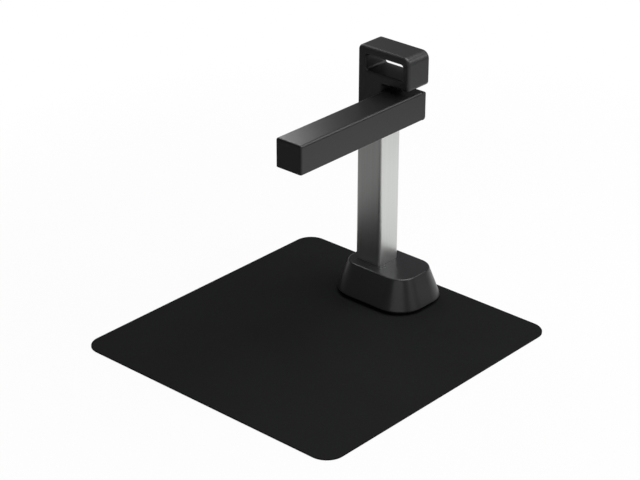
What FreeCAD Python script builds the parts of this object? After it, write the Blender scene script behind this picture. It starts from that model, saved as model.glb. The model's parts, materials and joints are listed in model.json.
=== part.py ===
import FreeCAD, Part
import math
import os

# Book scanner: a weighted base on a scanning mat, a square-section column, a head block with a
# carrying window, and a camera arm that folds down beside the column.
# Millimetres. +Z is up, the reader sits towards -Y, and the arm lies on the column's +X side.
# The origin is under the middle of the base, on the table that the mat lies on.

# Scanning mat
MAT_WIDTH = 424.0
MAT_DEPTH = 438.0
MAT_THICKNESS = 2.0
MAT_CORNER_R = 25.0
MAT_EDGE_R = 0.6
MAT_CENTRE_X = 12.3
MAT_CENTRE_Y = -156.2

# Base housing
BASE_WIDTH = 138.0
BASE_DEPTH = 103.0
BASE_CORNER_R = 40.0
BASE_HEIGHT = 41.3
BASE_TAPER = 15.5
BASE_WALL = 2.6
BASE_TOP_EDGE_R = 2.4
BASE_RIM_R = 0.8
BASE_BOSS_X = 50.0
BASE_BOSS_Y = 28.0
BASE_BOSS_R = 4.0
BASE_SCREW_GRIP = 10.0
BASE_RIB_DEPTH = 7.0
RIB_THICKNESS = 1.6

# Base plate and feet
FOOT_STAND = 5.0
FOOT_INSET = 5.0
PLATE_THICKNESS = 2.5
PAD_R = 7.0
PAD_STAND = 1.5
PAD_SUNK = 1.0
PAD_X = 34.0
PAD_Y = 35.0

# Ballast weight
BALLAST_HEIGHT = 17.0
BALLAST_WIDTH = 40.0
BALLAST_DEPTH = 50.0
BALLAST_Y = -8.0
BALLAST_CORNER_R = 15.0
BALLAST_SCREW_PITCH = 30.0
BALLAST_FLOOR = 4.0
BALLAST_GAP = 1.0

# Ports at the back of the base
PORT_FACE_Y = 41.6
PORT_WALL = 2.2
PORT_RECESS_WIDTH = 66.0
PORT_RECESS_HEIGHT = 17.0
PORT_RECESS_RISE = 2.6
PORT_CORNER_R = 2.5
BOARD_THICKNESS = 1.6
BOARD_STANDOFF = 3.0
BOARD_DEPTH = 16.4
CHIP_THICKNESS = 1.3
MAIN_CHIP_WIDTH = 14.0
CHIP_MARGIN = 1.0
PORT_AXIS_RISE = 6.2
USB_X = 2.0
USB_WIDTH = 8.94
USB_HEIGHT = 3.26
USB_DEPTH = 7.4
USB_SHEET = 0.3
USB_BACK = 1.2
USB_TONGUE_WIDTH = 6.6
USB_TONGUE_THICKNESS = 0.7
USB_TONGUE_SETBACK = 1.0
SOCKET_SETBACK = 0.3
POWER_X = -18.0
POWER_BODY_WIDTH = 9.0
POWER_BODY_HEIGHT = 10.8
POWER_BODY_DEPTH = 12.0
POWER_NOSE_R = 4.2
POWER_BORE_R = 2.75
POWER_PIN_R = 1.0
POWER_BORE_DEPTH = 9.5
POWER_PIN_SETBACK = 1.0
BUTTON_X = 21.0
BUTTON_R = 4.5
BUTTON_FLANGE_R = 5.4
BUTTON_FLANGE = 1.2
BUTTON_PROUD = 1.6
BUTTON_TRAVEL = 1.2
BUTTON_STEM_R = 1.7
BUTTON_STEM_LENGTH = 3.4
BUTTON_EDGE_R = 0.6
BUTTON_DISH_R = 3.4
BUTTON_DISH = 0.5
SWITCH_WIDTH = 9.0
SWITCH_DEPTH = 7.0

# Column and its foot
COLUMN_WIDTH = 42.5
COLUMN_DEPTH = 38.5
COLUMN_RISE = 216.0
COLUMN_EDGE_R = 4.0
COLUMN_WALL = 2.2
COLUMN_INNER_R = 0.6
CHANNEL_R = 3.8
CHANNEL_BORE_R = 2.0
FOOT_FLANGE = 5.0
FOOT_COLLAR_WALL = 3.2
FOOT_COLLAR_RISE = 18.0
FOOT_EAR = 8.0
FOOT_EAR_PITCH = 20.0
FOOT_SLOT_WIDTH = 10.0
FOOT_CORNER_R = 7.0

# Hinge
HINGE_GAP = 0.8
SHAFT_R = 6.0
SHAFT_BORE_R = 3.0
SHAFT_HEAD_R = 9.0
SHAFT_HEAD = 3.0
BEARING_R = 13.0
BEARING_LENGTH = 24.0
NOSE_R = 9.0
WASHER_R = 8.8
WASHER_THICKNESS = 1.4
NUT_ACROSS_FLATS = 16.0
NUT_THICKNESS = 5.0
SHAFT_END = 1.5
TENON_LENGTH = 28.0
BRACKET_FLANGE = 5.0
BRACKET_RIB = 5.0

# Head with its carrying window
HEAD_DEPTH = 42.8
HEAD_HEIGHT = 46.3
HEAD_PROUD = 0.4
HEAD_WALL = 2.4
HEAD_TOP_LEFT_R = 7.0
HEAD_TOP_RIGHT_R = 11.0
HEAD_UNDER_R = 5.0
HEAD_INNER_R = 2.0
HEAD_FRONT_EDGE_R = 4.5
HEAD_COVER = 4.6
HEAD_COVER_EDGE_R = 3.6
HEAD_COVER_LIP = 1.5
WINDOW_LEFT_WALL = 13.8
WINDOW_RIGHT_WALL = 10.8
WINDOW_TOP_WALL = 11.4
WINDOW_HEIGHT = 21.4
WINDOW_CORNER_R = 3.5
WINDOW_FRONT_EDGE_R = 3.4
WINDOW_BACK_EDGE_R = 4.4
HEAD_BOSS_R = 3.2
HEAD_BOSS_OVERLAP = 0.6
HEAD_BOSS_GAP = 1.4
HEAD_CORNER_SHIFT = 1.0
HEAD_RIGHT_SHIFT = 1.5
HEAD_LIP_BAND = 1.6
HEAD_SCREW_SEAT = 1.2
HEAD_SCREW_GRIP = 12.0

# Arm
ARM_WIDTH = 42.0
ARM_HEIGHT = 39.0
ARM_BACK_INSET = 2.9
ARM_WALL = 2.0
ARM_EDGE_R = 3.0
ARM_LOWER_EDGE_R = 1.0
ARM_CAP_R = 3.5
ARM_REAR_CAP = 6.0
ARM_FRONT_CAP = 3.5
ARM_CAP_PLUG = 7.0
ARM_CAP_BAND = 2.0
RAIL = 1.6
SWING_CLEARANCE = 0.5
FOLD_CLEARANCE = 16.0
LOWER_COVER = 2.2
COVER_SCREW_SEAT = 1.2
COVER_SCREW_HEAD = 1.1
COVER_SCREW_GRIP = 4.5
COVER_SCREW_MARGIN = 1.0
HUB_WIDTH = 22.0
HUB_FRONT = 19.0
HUB_BACK_GAP = 1.0
HUB_SCREW_PCR = 14.0
HUB_SCREW_GRIP = 5.0
HUB_CORNER_R = 2.5
HUB_LIP = 8.0
HUB_LIP_RISE = 3.0
HUB_LIP_SCREW_X = 6.0
HUB_WALL = 3.0
HUB_RING_WALL = 4.0

# Camera and lights in the arm
CAMERA_GAP = 1.0
CAMERA_BOARD_SIDE = 32.0
CAMERA_BOARD_RISE = 19.5
CAMERA_POST_PITCH = 26.0
CAMERA_BOARD_CORNER_R = 2.0
CAMERA_CHIP = 10.0
CAMERA_SCREW_LENGTH = 7.0
POST_R = 2.5
LENS_HOLDER_SIDE = 17.0
LENS_HOLDER_HEIGHT = 6.5
LENS_HOLDER_CORNER_R = 1.5
LENS_HOLDER_ROOF = 1.5
LENS_RISE = 0.6
LENS_RING = 1.2
LENS_RING_HEIGHT = 6.0
LENS_GROOVE = 0.5
LENS_GROOVE_Z0 = 2.6
LENS_GROOVE_Z1 = 4.2
LENS_GROOVE_SLOPE = 0.2
LENS_CHAMFER = 0.4
LENS_SEAT = 1.6
LENS_GLASS_EDGE = 0.6
LENS_FUNNEL = 1.0
LENS_R = 7.0
LENS_GLASS_R = 5.2
LENS_GLASS_DOME = 1.0
WINDOW_GLASS_R = 11.0
WINDOW_GLASS = 1.2
WINDOW_GLASS_SEAT = 2.0
LIGHT_LENGTH = 112.0
LIGHT_WIDTH = 17.0
LIGHT_GAP = 9.0
LIGHT_FLANGE = 2.0
LIGHT_BOARD_RISE = 5.6
LIGHT_BOARD_THICKNESS = 1.2
LIGHT_CHIP = 3.0
LIGHT_CHIP_THICKNESS = 0.7
LIGHT_CHIP_COUNT = 12
LIGHT_END = 6.0
LIGHT_CORNER_R = 2.0
LIGHT_FLANGE_THICKNESS = 1.0
LIGHT_POST_OVERLAP = 1.0
LIGHT_SCREW_GRIP = 4.0

# Fasteners and fits
SCREW_R = 1.5
SCREW_HEAD_R = 2.8
SCREW_HEAD = 1.8
SMALL_SCREW_R = 1.1
SMALL_HEAD_R = 2.1
SMALL_HEAD = 1.3
BOLT_R = 1.95
BOLT_HEAD_R = 3.4
BOLT_HEAD = 2.4
BOLT_GRIP = 16.0
BOLT_SINK = 1.6
THREAD_GAP = 0.05
HOLE_GAP = 0.3
SCREW_END_GAP = 0.7
FLUSH_GAP = 0.1
FIT = 0.15
RUNNING = 0.05
MOVING_GAP = 0.3
TURNING_GAP = 1.6

# Heights of the stack, from the table up
MAT_TOP = MAT_THICKNESS
SHELL_Z0 = MAT_TOP + FOOT_STAND
SHELL_Z1 = SHELL_Z0 + BASE_HEIGHT
PLATE_Z0 = MAT_TOP + PAD_STAND
PLATE_TOP = SHELL_Z0 + PLATE_THICKNESS
SCREW_TIP_Z = PLATE_Z0 + SCREW_HEAD + SCREW_END_GAP
COLUMN_Z0 = PLATE_TOP + FOOT_FLANGE
COLUMN_TOP = SHELL_Z1 + COLUMN_RISE
ARM_Z0 = COLUMN_TOP
ARM_Z1 = ARM_Z0 + ARM_HEIGHT
HINGE_Z = ARM_Z0 + ARM_HEIGHT / 2
SWING_R = math.hypot(ARM_HEIGHT / 2 - ARM_CAP_R, ARM_HEIGHT / 2 - ARM_CAP_R) + ARM_CAP_R
OVERHANG_Z = HINGE_Z + SWING_R + SWING_CLEARANCE
HEAD_TOP = OVERHANG_Z + HEAD_HEIGHT
WINDOW_Z1 = HEAD_TOP - WINDOW_TOP_WALL
WINDOW_Z0 = WINDOW_Z1 - WINDOW_HEIGHT

# Places across: the column, the hinge gap and the arm are centred on the base together
PACKAGE_WIDTH = COLUMN_WIDTH + HINGE_GAP + ARM_WIDTH
COLUMN_X0 = -PACKAGE_WIDTH / 2
COLUMN_X1 = COLUMN_X0 + COLUMN_WIDTH
COLUMN_XC = COLUMN_X0 + COLUMN_WIDTH / 2
ARM_X0 = COLUMN_X1 + HINGE_GAP
ARM_X1 = ARM_X0 + ARM_WIDTH
ARM_XC = ARM_X0 + ARM_WIDTH / 2
WINDOW_X0 = COLUMN_X0 + WINDOW_LEFT_WALL
WINDOW_X1 = ARM_X1 - WINDOW_RIGHT_WALL

# Places front to back
ARM_Y1 = COLUMN_DEPTH / 2 - ARM_BACK_INSET
HINGE_Y = ARM_Y1 - ARM_HEIGHT / 2
ARM_REACH = HINGE_Z - SHELL_Z1 - FOLD_CLEARANCE
ARM_Y0 = HINGE_Y - ARM_REACH
HEAD_Y0 = -COLUMN_DEPTH / 2 - HEAD_PROUD
HEAD_Y1 = HEAD_Y0 + HEAD_DEPTH
HEAD_SPLIT_Y = HEAD_Y1 - HEAD_COVER
CAMERA_Y = ARM_Y0 + ARM_FRONT_CAP + ARM_CAP_PLUG + CAMERA_GAP + CAMERA_BOARD_SIDE / 2
LIGHT_Y0 = CAMERA_Y + CAMERA_BOARD_SIDE / 2 + LIGHT_GAP
LIGHT_Y1 = LIGHT_Y0 + LIGHT_LENGTH

# Places of the ports and the screw channels
PORT_Z0 = PLATE_TOP + PORT_RECESS_RISE
PORT_Z1 = PORT_Z0 + PORT_RECESS_HEIGHT
PORT_INNER_Y = PORT_FACE_Y - PORT_WALL
BOARD_TOP = PLATE_TOP + BOARD_STANDOFF + BOARD_THICKNESS
PORT_AXIS_Z = BOARD_TOP + PORT_AXIS_RISE
CHANNEL_DX = COLUMN_WIDTH / 2 - COLUMN_WALL - CHANNEL_R + THREAD_GAP
CHANNEL_DY = COLUMN_DEPTH / 2 - COLUMN_WALL - CHANNEL_R + THREAD_GAP
BEARING_X1 = COLUMN_X1 - HEAD_WALL - MOVING_GAP
BEARING_X0 = BEARING_X1 - BEARING_LENGTH
HUB_X0 = ARM_X0 + ARM_WALL + FIT
HUB_X1 = HUB_X0 + HUB_WIDTH
NUT_X0 = HUB_X1 + MOVING_GAP + 2 * WASHER_THICKNESS


def vec(x, y, z):
    return FreeCAD.Vector(x, y, z)


def box(x0, x1, y0, y1, z0, z1):
    return Part.makeBox(x1 - x0, y1 - y0, z1 - z0, vec(x0, y0, z0))


def rod_x(r, x0, x1, y, z):
    return Part.makeCylinder(r, x1 - x0, vec(x0, y, z), vec(1, 0, 0))


def rod_y(r, y0, y1, x, z):
    return Part.makeCylinder(r, y1 - y0, vec(x, y0, z), vec(0, 1, 0))


def rod_z(r, z0, z1, x, y):
    return Part.makeCylinder(r, z1 - z0, vec(x, y, z0))


def outline(corners, radii, place):
    """Closed wire through the corners, each rounded by its own radius, set in space by place(a, b)."""
    count = len(corners)
    starts = []
    ends = []
    mids = []
    for i in range(count):
        a, b = corners[i]
        before = (corners[i - 1][0] - a, corners[i - 1][1] - b)
        after = (corners[(i + 1) % count][0] - a, corners[(i + 1) % count][1] - b)
        len_before = math.hypot(*before)
        len_after = math.hypot(*after)
        u = (before[0] / len_before, before[1] / len_before)
        v = (after[0] / len_after, after[1] / len_after)
        half = math.acos(max(-1.0, min(1.0, u[0] * v[0] + u[1] * v[1]))) / 2
        tangent = radii[i] / math.tan(half)
        reach = radii[i] / math.sin(half) - radii[i]
        bisector = (u[0] + v[0], u[1] + v[1])
        size = math.hypot(*bisector)
        starts.append((a + u[0] * tangent, b + u[1] * tangent))
        ends.append((a + v[0] * tangent, b + v[1] * tangent))
        mids.append((a + bisector[0] / size * reach, b + bisector[1] / size * reach))
    edges = []
    for i in range(count):
        if radii[i] > 0:
            edges.append(Part.Arc(place(*starts[i]), place(*mids[i]), place(*ends[i])).toShape())
        following = starts[(i + 1) % count]
        if math.dist(ends[i], following) > 1e-6:
            edges.append(Part.LineSegment(place(*ends[i]), place(*following)).toShape())
    return Part.Wire(edges)


def rectangle(cx, cy, width, depth):
    hx = width / 2
    hy = depth / 2
    return [(cx - hx, cy - hy), (cx + hx, cy - hy), (cx + hx, cy + hy), (cx - hx, cy + hy)]


def on_z(z):
    return lambda a, b: vec(a, b, z)


def on_y(y):
    return lambda a, b: vec(a, y, b)


def slab(corners, radii, z0, z1):
    """Plate of a rounded outline in X and Y."""
    return Part.Face(outline(corners, radii, on_z(z0))).extrude(vec(0, 0, z1 - z0))


def panel(corners, radii, y0, y1):
    """Plate of a rounded outline in X and Z."""
    return Part.Face(outline(corners, radii, on_y(y0))).extrude(vec(0, y1 - y0, 0))


def round_slab(cx, cy, width, depth, r, z0, z1):
    return slab(rectangle(cx, cy, width, depth), [r] * 4, z0, z1)


def fillet_where(shape, r, wanted):
    """Round every edge whose middle and box satisfy wanted(edge)."""
    return shape.makeFillet(r, [edge for edge in shape.Edges if wanted(edge)])


def lies_in_plane(edge, axis, value):
    bounds = edge.BoundBox
    low = getattr(bounds, axis + "Min")
    high = getattr(bounds, axis + "Max")
    return abs(low - value) < 1e-4 and abs(high - value) < 1e-4


def dome_radius(rim_r, rise):
    """Radius of the ball whose cap of that rise is rim_r wide at its rim."""
    return (rim_r ** 2 + rise ** 2) / (2 * rise)


def screw_z(x, y, z_head, up, length, shank_r, head_r, head):
    """Screw along Z: its head starts at z_head and the shank runs on by length, up or down."""
    step = 1 if up else -1
    neck = z_head + step * head
    tip = neck + step * length
    head_part = rod_z(head_r, min(z_head, neck), max(z_head, neck), x, y)
    return head_part.fuse(rod_z(shank_r, min(neck, tip), max(neck, tip), x, y)).removeSplitter()


def four(dx, dy, cx=0.0, cy=0.0):
    return [(cx + sx * dx, cy + sy * dy) for sx in (-1, 1) for sy in (-1, 1)]


BASE_BOSSES = four(BASE_BOSS_X, BASE_BOSS_Y)
PADS = four(PAD_X, PAD_Y)
CHANNELS = four(CHANNEL_DX, CHANNEL_DY, COLUMN_XC)
FOOT_EAR_X0 = COLUMN_X0 - FIT - FOOT_COLLAR_WALL - FOOT_EAR
FOOT_EAR_X1 = COLUMN_X1 + FIT + FOOT_COLLAR_WALL + FOOT_EAR
EAR_SCREWS = four(
    (FOOT_EAR_X1 - FOOT_EAR_X0 - FOOT_EAR) / 2, FOOT_EAR_PITCH / 2, (FOOT_EAR_X0 + FOOT_EAR_X1) / 2
)
BALLAST_X0 = FOOT_EAR_X1 + BALLAST_GAP
BALLAST_XC = BALLAST_X0 + BALLAST_WIDTH / 2
BALLAST_SCREWS = [(BALLAST_XC, BALLAST_Y + s * BALLAST_SCREW_PITCH / 2) for s in (-1, 1)]


# Scanning mat

def mat():
    """Thin rubber mat with large rounded corners and a softened upper edge."""
    sheet = round_slab(MAT_CENTRE_X, MAT_CENTRE_Y, MAT_WIDTH, MAT_DEPTH, MAT_CORNER_R, 0, MAT_TOP)
    return fillet_where(sheet, MAT_EDGE_R, lambda edge: lies_in_plane(edge, "Z", MAT_TOP))


# Base

def base_form(inset, z0, z1):
    """Tapered block between two heights, set in from the housing's outer skin by inset."""
    wires = []
    for z in (z0, z1):
        back = inset + BASE_TAPER * (z - SHELL_Z0) / BASE_HEIGHT
        corners = rectangle(0, 0, BASE_WIDTH - 2 * back, BASE_DEPTH - 2 * back)
        wires.append(outline(corners, [BASE_CORNER_R - back] * 4, on_z(z)))
    return Part.makeLoft(wires, True, True)


def base_shell():
    """Drafted housing with screw bosses, stiffening ribs, the column's opening and a port recess."""
    outer = base_form(0, SHELL_Z0, SHELL_Z1)
    outer = fillet_where(outer, BASE_TOP_EDGE_R, lambda edge: lies_in_plane(edge, "Z", SHELL_Z1))
    outer = fillet_where(outer, BASE_RIM_R, lambda edge: lies_in_plane(edge, "Z", SHELL_Z0))
    ceiling = SHELL_Z1 - BASE_WALL
    shell = outer.cut(base_form(BASE_WALL, SHELL_Z0 - 1, ceiling))
    half_width = BASE_WIDTH / 2
    inside = []
    for x, y in BASE_BOSSES:
        inside.append(rod_z(BASE_BOSS_R, PLATE_TOP, SHELL_Z1 - BASE_WALL / 2, x, y))
    for x in (FOOT_EAR_X0, FOOT_EAR_X1, BALLAST_XC):
        inside.append(
            box(x - RIB_THICKNESS / 2, x + RIB_THICKNESS / 2, -BASE_DEPTH / 2, BASE_DEPTH / 2,
                ceiling - BASE_RIB_DEPTH, ceiling + BASE_WALL / 2)
        )
    for y in (-COLUMN_DEPTH / 2 - FOOT_COLLAR_WALL, COLUMN_DEPTH / 2 + FOOT_COLLAR_WALL):
        inside.append(
            box(-half_width, half_width, y - RIB_THICKNESS / 2, y + RIB_THICKNESS / 2,
                ceiling - BASE_RIB_DEPTH, ceiling + BASE_WALL / 2)
        )
    recess_x = PORT_RECESS_WIDTH / 2
    inside.append(
        box(-recess_x - PORT_WALL, recess_x + PORT_WALL, PORT_INNER_Y, BASE_DEPTH / 2,
            PORT_Z0 - PORT_WALL, PORT_Z1 + PORT_WALL)
    )
    trim = base_form(BASE_WALL / 2, SHELL_Z0, SHELL_Z1 - BASE_WALL / 2)
    for piece in inside:
        shell = shell.fuse(piece.common(trim))
    recess = panel(
        rectangle(0, (PORT_Z0 + PORT_Z1) / 2, PORT_RECESS_WIDTH, PORT_RECESS_HEIGHT),
        [PORT_CORNER_R] * 4, PORT_FACE_Y, BASE_DEPTH / 2 + 1
    )
    shell = shell.cut(recess)
    opening = round_slab(
        COLUMN_XC, 0, COLUMN_WIDTH + 2 * FIT, COLUMN_DEPTH + 2 * FIT, COLUMN_EDGE_R + FIT,
        ceiling - BASE_RIB_DEPTH - 1, SHELL_Z1 + 1
    )
    shell = shell.cut(opening)
    for x, y in BASE_BOSSES:
        bore_top = PLATE_TOP + BASE_SCREW_GRIP + 1
        shell = shell.cut(rod_z(SCREW_R + THREAD_GAP, PLATE_TOP - 1, bore_top, x, y))
    for hole in (usb_hole(), power_hole(), button_hole()):
        shell = shell.cut(hole)
    return shell.removeSplitter()


def usb_hole():
    width = USB_WIDTH + 2 * FIT
    height = USB_HEIGHT + 2 * FIT
    corners = rectangle(USB_X, BOARD_TOP + USB_HEIGHT / 2, width, height)
    return panel(corners, [height / 2 - 0.01] * 4, PORT_INNER_Y - 1, PORT_FACE_Y + 1)


def power_hole():
    return rod_y(POWER_NOSE_R + FIT, PORT_INNER_Y - 1, PORT_FACE_Y + 1, POWER_X, PORT_AXIS_Z)


def button_hole():
    return rod_y(BUTTON_R + MOVING_GAP, PORT_INNER_Y - 1, PORT_FACE_Y + 1, BUTTON_X, PORT_AXIS_Z)


def base_plate():
    """Closing plate: a set-back foot below, a locating step inside the housing, posts and screw holes."""
    foot = round_slab(
        0, 0, BASE_WIDTH - 2 * FOOT_INSET, BASE_DEPTH - 2 * FOOT_INSET, BASE_CORNER_R - FOOT_INSET,
        PLATE_Z0, SHELL_Z0
    )
    plate = foot.fuse(base_form(BASE_WALL + FIT, SHELL_Z0, PLATE_TOP))
    for x, y in PADS:
        plate = plate.cut(rod_z(PAD_R + FIT, PLATE_Z0 - 1, PLATE_Z0 + PAD_SUNK, x, y))
    for x, y in BASE_BOSSES:
        plate = plate.cut(rod_z(SCREW_R + HOLE_GAP, PLATE_Z0 - 1, PLATE_TOP + 1, x, y))
        plate = plate.cut(rod_z(SCREW_HEAD_R + HOLE_GAP, PLATE_Z0 - 1, PLATE_Z0 + SCREW_HEAD, x, y))
    for x, y in CHANNELS:
        plate = plate.cut(rod_z(BOLT_R + HOLE_GAP, PLATE_Z0 - 1, PLATE_TOP + 1, x, y))
        plate = plate.cut(rod_z(BOLT_HEAD_R + HOLE_GAP, PLATE_Z0 - 1, PLATE_Z0 + BOLT_HEAD, x, y))
    for x, y in EAR_SCREWS + BALLAST_SCREWS:
        plate = plate.cut(rod_z(SCREW_R + THREAD_GAP, PLATE_Z0 + SCREW_HEAD, PLATE_TOP + 1, x, y))
    for x, y in board_posts():
        plate = plate.fuse(rod_z(POST_R, PLATE_TOP, PLATE_TOP + BOARD_STANDOFF, x, y))
        plate = plate.cut(
            rod_z(SMALL_SCREW_R + THREAD_GAP, SHELL_Z0 - 1, PLATE_TOP + BOARD_STANDOFF + 1, x, y)
        )
    return plate.removeSplitter()


def foot_pads():
    return Part.makeCompound([rod_z(PAD_R, MAT_TOP, PLATE_Z0 + PAD_SUNK, x, y) for x, y in PADS])


def base_screws():
    length = PLATE_TOP - PLATE_Z0 - SCREW_HEAD + BASE_SCREW_GRIP
    return Part.makeCompound(
        [screw_z(x, y, PLATE_Z0, True, length, SCREW_R, SCREW_HEAD_R, SCREW_HEAD) for x, y in BASE_BOSSES]
    )


def ballast_weight():
    """Cast weight under the arm's side, notched round the housing's bosses, with sunk screw heads."""
    weight = round_slab(
        BALLAST_XC, BALLAST_Y, BALLAST_WIDTH, BALLAST_DEPTH, BALLAST_CORNER_R,
        PLATE_TOP, PLATE_TOP + BALLAST_HEIGHT
    )
    for x, y in BASE_BOSSES:
        notch = rod_z(BASE_BOSS_R + TURNING_GAP, PLATE_TOP - 1, PLATE_TOP + BALLAST_HEIGHT + 1, x, y)
        weight = weight.cut(notch)
    for x, y in BALLAST_SCREWS:
        seat = PLATE_TOP + BALLAST_FLOOR
        weight = weight.cut(rod_z(SCREW_R + HOLE_GAP, PLATE_TOP - 1, seat + 1, x, y))
        weight = weight.cut(rod_z(SCREW_HEAD_R + HOLE_GAP, seat, PLATE_TOP + BALLAST_HEIGHT + 1, x, y))
    return weight


def ballast_screws():
    seat = PLATE_TOP + BALLAST_FLOOR
    length = seat - SCREW_TIP_Z
    return Part.makeCompound(
        [screw_z(x, y, seat + SCREW_HEAD, False, length, SCREW_R, SCREW_HEAD_R, SCREW_HEAD)
         for x, y in BALLAST_SCREWS]
    )


# Electronics in the base

def board_posts():
    x = PORT_RECESS_WIDTH / 2 - POST_R
    y1 = PORT_INNER_Y - FIT - POST_R
    y0 = PORT_INNER_Y - FIT - BOARD_DEPTH + POST_R
    return [(-x, y0), (-x, y1), (x, y0), (x, y1)]


def main_board():
    board = box(
        -PORT_RECESS_WIDTH / 2, PORT_RECESS_WIDTH / 2, PORT_INNER_Y - FIT - BOARD_DEPTH,
        PORT_INNER_Y - FIT, BOARD_TOP - BOARD_THICKNESS, BOARD_TOP
    )
    chip = box(
        USB_X - MAIN_CHIP_WIDTH / 2, USB_X + MAIN_CHIP_WIDTH / 2, PORT_INNER_Y - BOARD_DEPTH + CHIP_MARGIN,
        PORT_INNER_Y - USB_DEPTH - 2 * CHIP_MARGIN, BOARD_TOP, BOARD_TOP + CHIP_THICKNESS
    )
    board = board.fuse(chip)
    for x, y in board_posts():
        board = board.cut(rod_z(SMALL_SCREW_R + HOLE_GAP, BOARD_TOP - 5, BOARD_TOP + 1, x, y))
    return board.removeSplitter()


def board_screws():
    return Part.makeCompound(
        [screw_z(x, y, BOARD_TOP + SMALL_HEAD, False, BOARD_THICKNESS + BOARD_STANDOFF,
                 SMALL_SCREW_R, SMALL_HEAD_R, SMALL_HEAD) for x, y in board_posts()]
    )


def usb_socket():
    """Pressed metal shell with an open mouth and the contact tongue inside."""
    y1 = PORT_FACE_Y - SOCKET_SETBACK
    y0 = y1 - USB_DEPTH
    zc = BOARD_TOP + USB_HEIGHT / 2
    half = USB_HEIGHT / 2
    shell = panel(rectangle(USB_X, zc, USB_WIDTH, USB_HEIGHT), [half - 0.01] * 4, y0, y1)
    mouth = panel(
        rectangle(USB_X, zc, USB_WIDTH - 2 * USB_SHEET, USB_HEIGHT - 2 * USB_SHEET),
        [half - USB_SHEET - 0.01] * 4, y0 + USB_BACK, y1 + 1
    )
    tongue = box(
        USB_X - USB_TONGUE_WIDTH / 2, USB_X + USB_TONGUE_WIDTH / 2, y0 + USB_BACK / 2,
        y1 - USB_TONGUE_SETBACK, zc - USB_TONGUE_THICKNESS / 2, zc + USB_TONGUE_THICKNESS / 2
    )
    return shell.cut(mouth).fuse(tongue).removeSplitter()


def power_socket():
    """Barrel socket: square body on the board, round nose in the wall, deep bore with a centre pin."""
    y1 = PORT_FACE_Y - SOCKET_SETBACK
    body_y1 = PORT_INNER_Y - FIT
    body = box(
        POWER_X - POWER_BODY_WIDTH / 2, POWER_X + POWER_BODY_WIDTH / 2, body_y1 - POWER_BODY_DEPTH,
        body_y1, BOARD_TOP, BOARD_TOP + POWER_BODY_HEIGHT
    )
    socket = body.fuse(rod_y(POWER_NOSE_R, body_y1 - 1, y1, POWER_X, PORT_AXIS_Z))
    socket = socket.cut(rod_y(POWER_BORE_R, y1 - POWER_BORE_DEPTH, y1 + 1, POWER_X, PORT_AXIS_Z))
    pin = rod_y(POWER_PIN_R, y1 - POWER_BORE_DEPTH - 1, y1 - POWER_PIN_SETBACK, POWER_X, PORT_AXIS_Z)
    return socket.fuse(pin).removeSplitter()


BUTTON_Y1 = PORT_FACE_Y + BUTTON_PROUD
BUTTON_FLANGE_Y1 = PORT_INNER_Y - MOVING_GAP
STEM_Y1 = BUTTON_FLANGE_Y1 - BUTTON_FLANGE
STEM_Y0 = STEM_Y1 - BUTTON_STEM_LENGTH
SWITCH_Y1 = STEM_Y1 - BUTTON_TRAVEL - MOVING_GAP


def power_button():
    """Round cap with a dished end, a stop flange behind the wall and a stem into the switch."""
    cap = rod_y(BUTTON_R, STEM_Y1, BUTTON_Y1, BUTTON_X, PORT_AXIS_Z)
    cap = fillet_where(cap, BUTTON_EDGE_R, lambda edge: lies_in_plane(edge, "Y", BUTTON_Y1))
    r = dome_radius(BUTTON_DISH_R, BUTTON_DISH)
    cap = cap.cut(Part.makeSphere(r, vec(BUTTON_X, BUTTON_Y1 + r - BUTTON_DISH, PORT_AXIS_Z)))
    flange = rod_y(BUTTON_FLANGE_R, STEM_Y1, BUTTON_FLANGE_Y1, BUTTON_X, PORT_AXIS_Z)
    stem = rod_y(BUTTON_STEM_R, STEM_Y0, STEM_Y1, BUTTON_X, PORT_AXIS_Z)
    return cap.fuse(flange).fuse(stem).removeSplitter()


def power_switch():
    """Switch block on the board with the bore that the button's stem slides in."""
    block = box(
        BUTTON_X - SWITCH_WIDTH / 2, BUTTON_X + SWITCH_WIDTH / 2, SWITCH_Y1 - SWITCH_DEPTH, SWITCH_Y1,
        BOARD_TOP, PORT_AXIS_Z + SWITCH_WIDTH / 2
    )
    bore_end = STEM_Y0 - BUTTON_TRAVEL - MOVING_GAP
    return block.cut(rod_y(BUTTON_STEM_R + RUNNING, bore_end, SWITCH_Y1 + 1, BUTTON_X, PORT_AXIS_Z))


# Column

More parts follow.
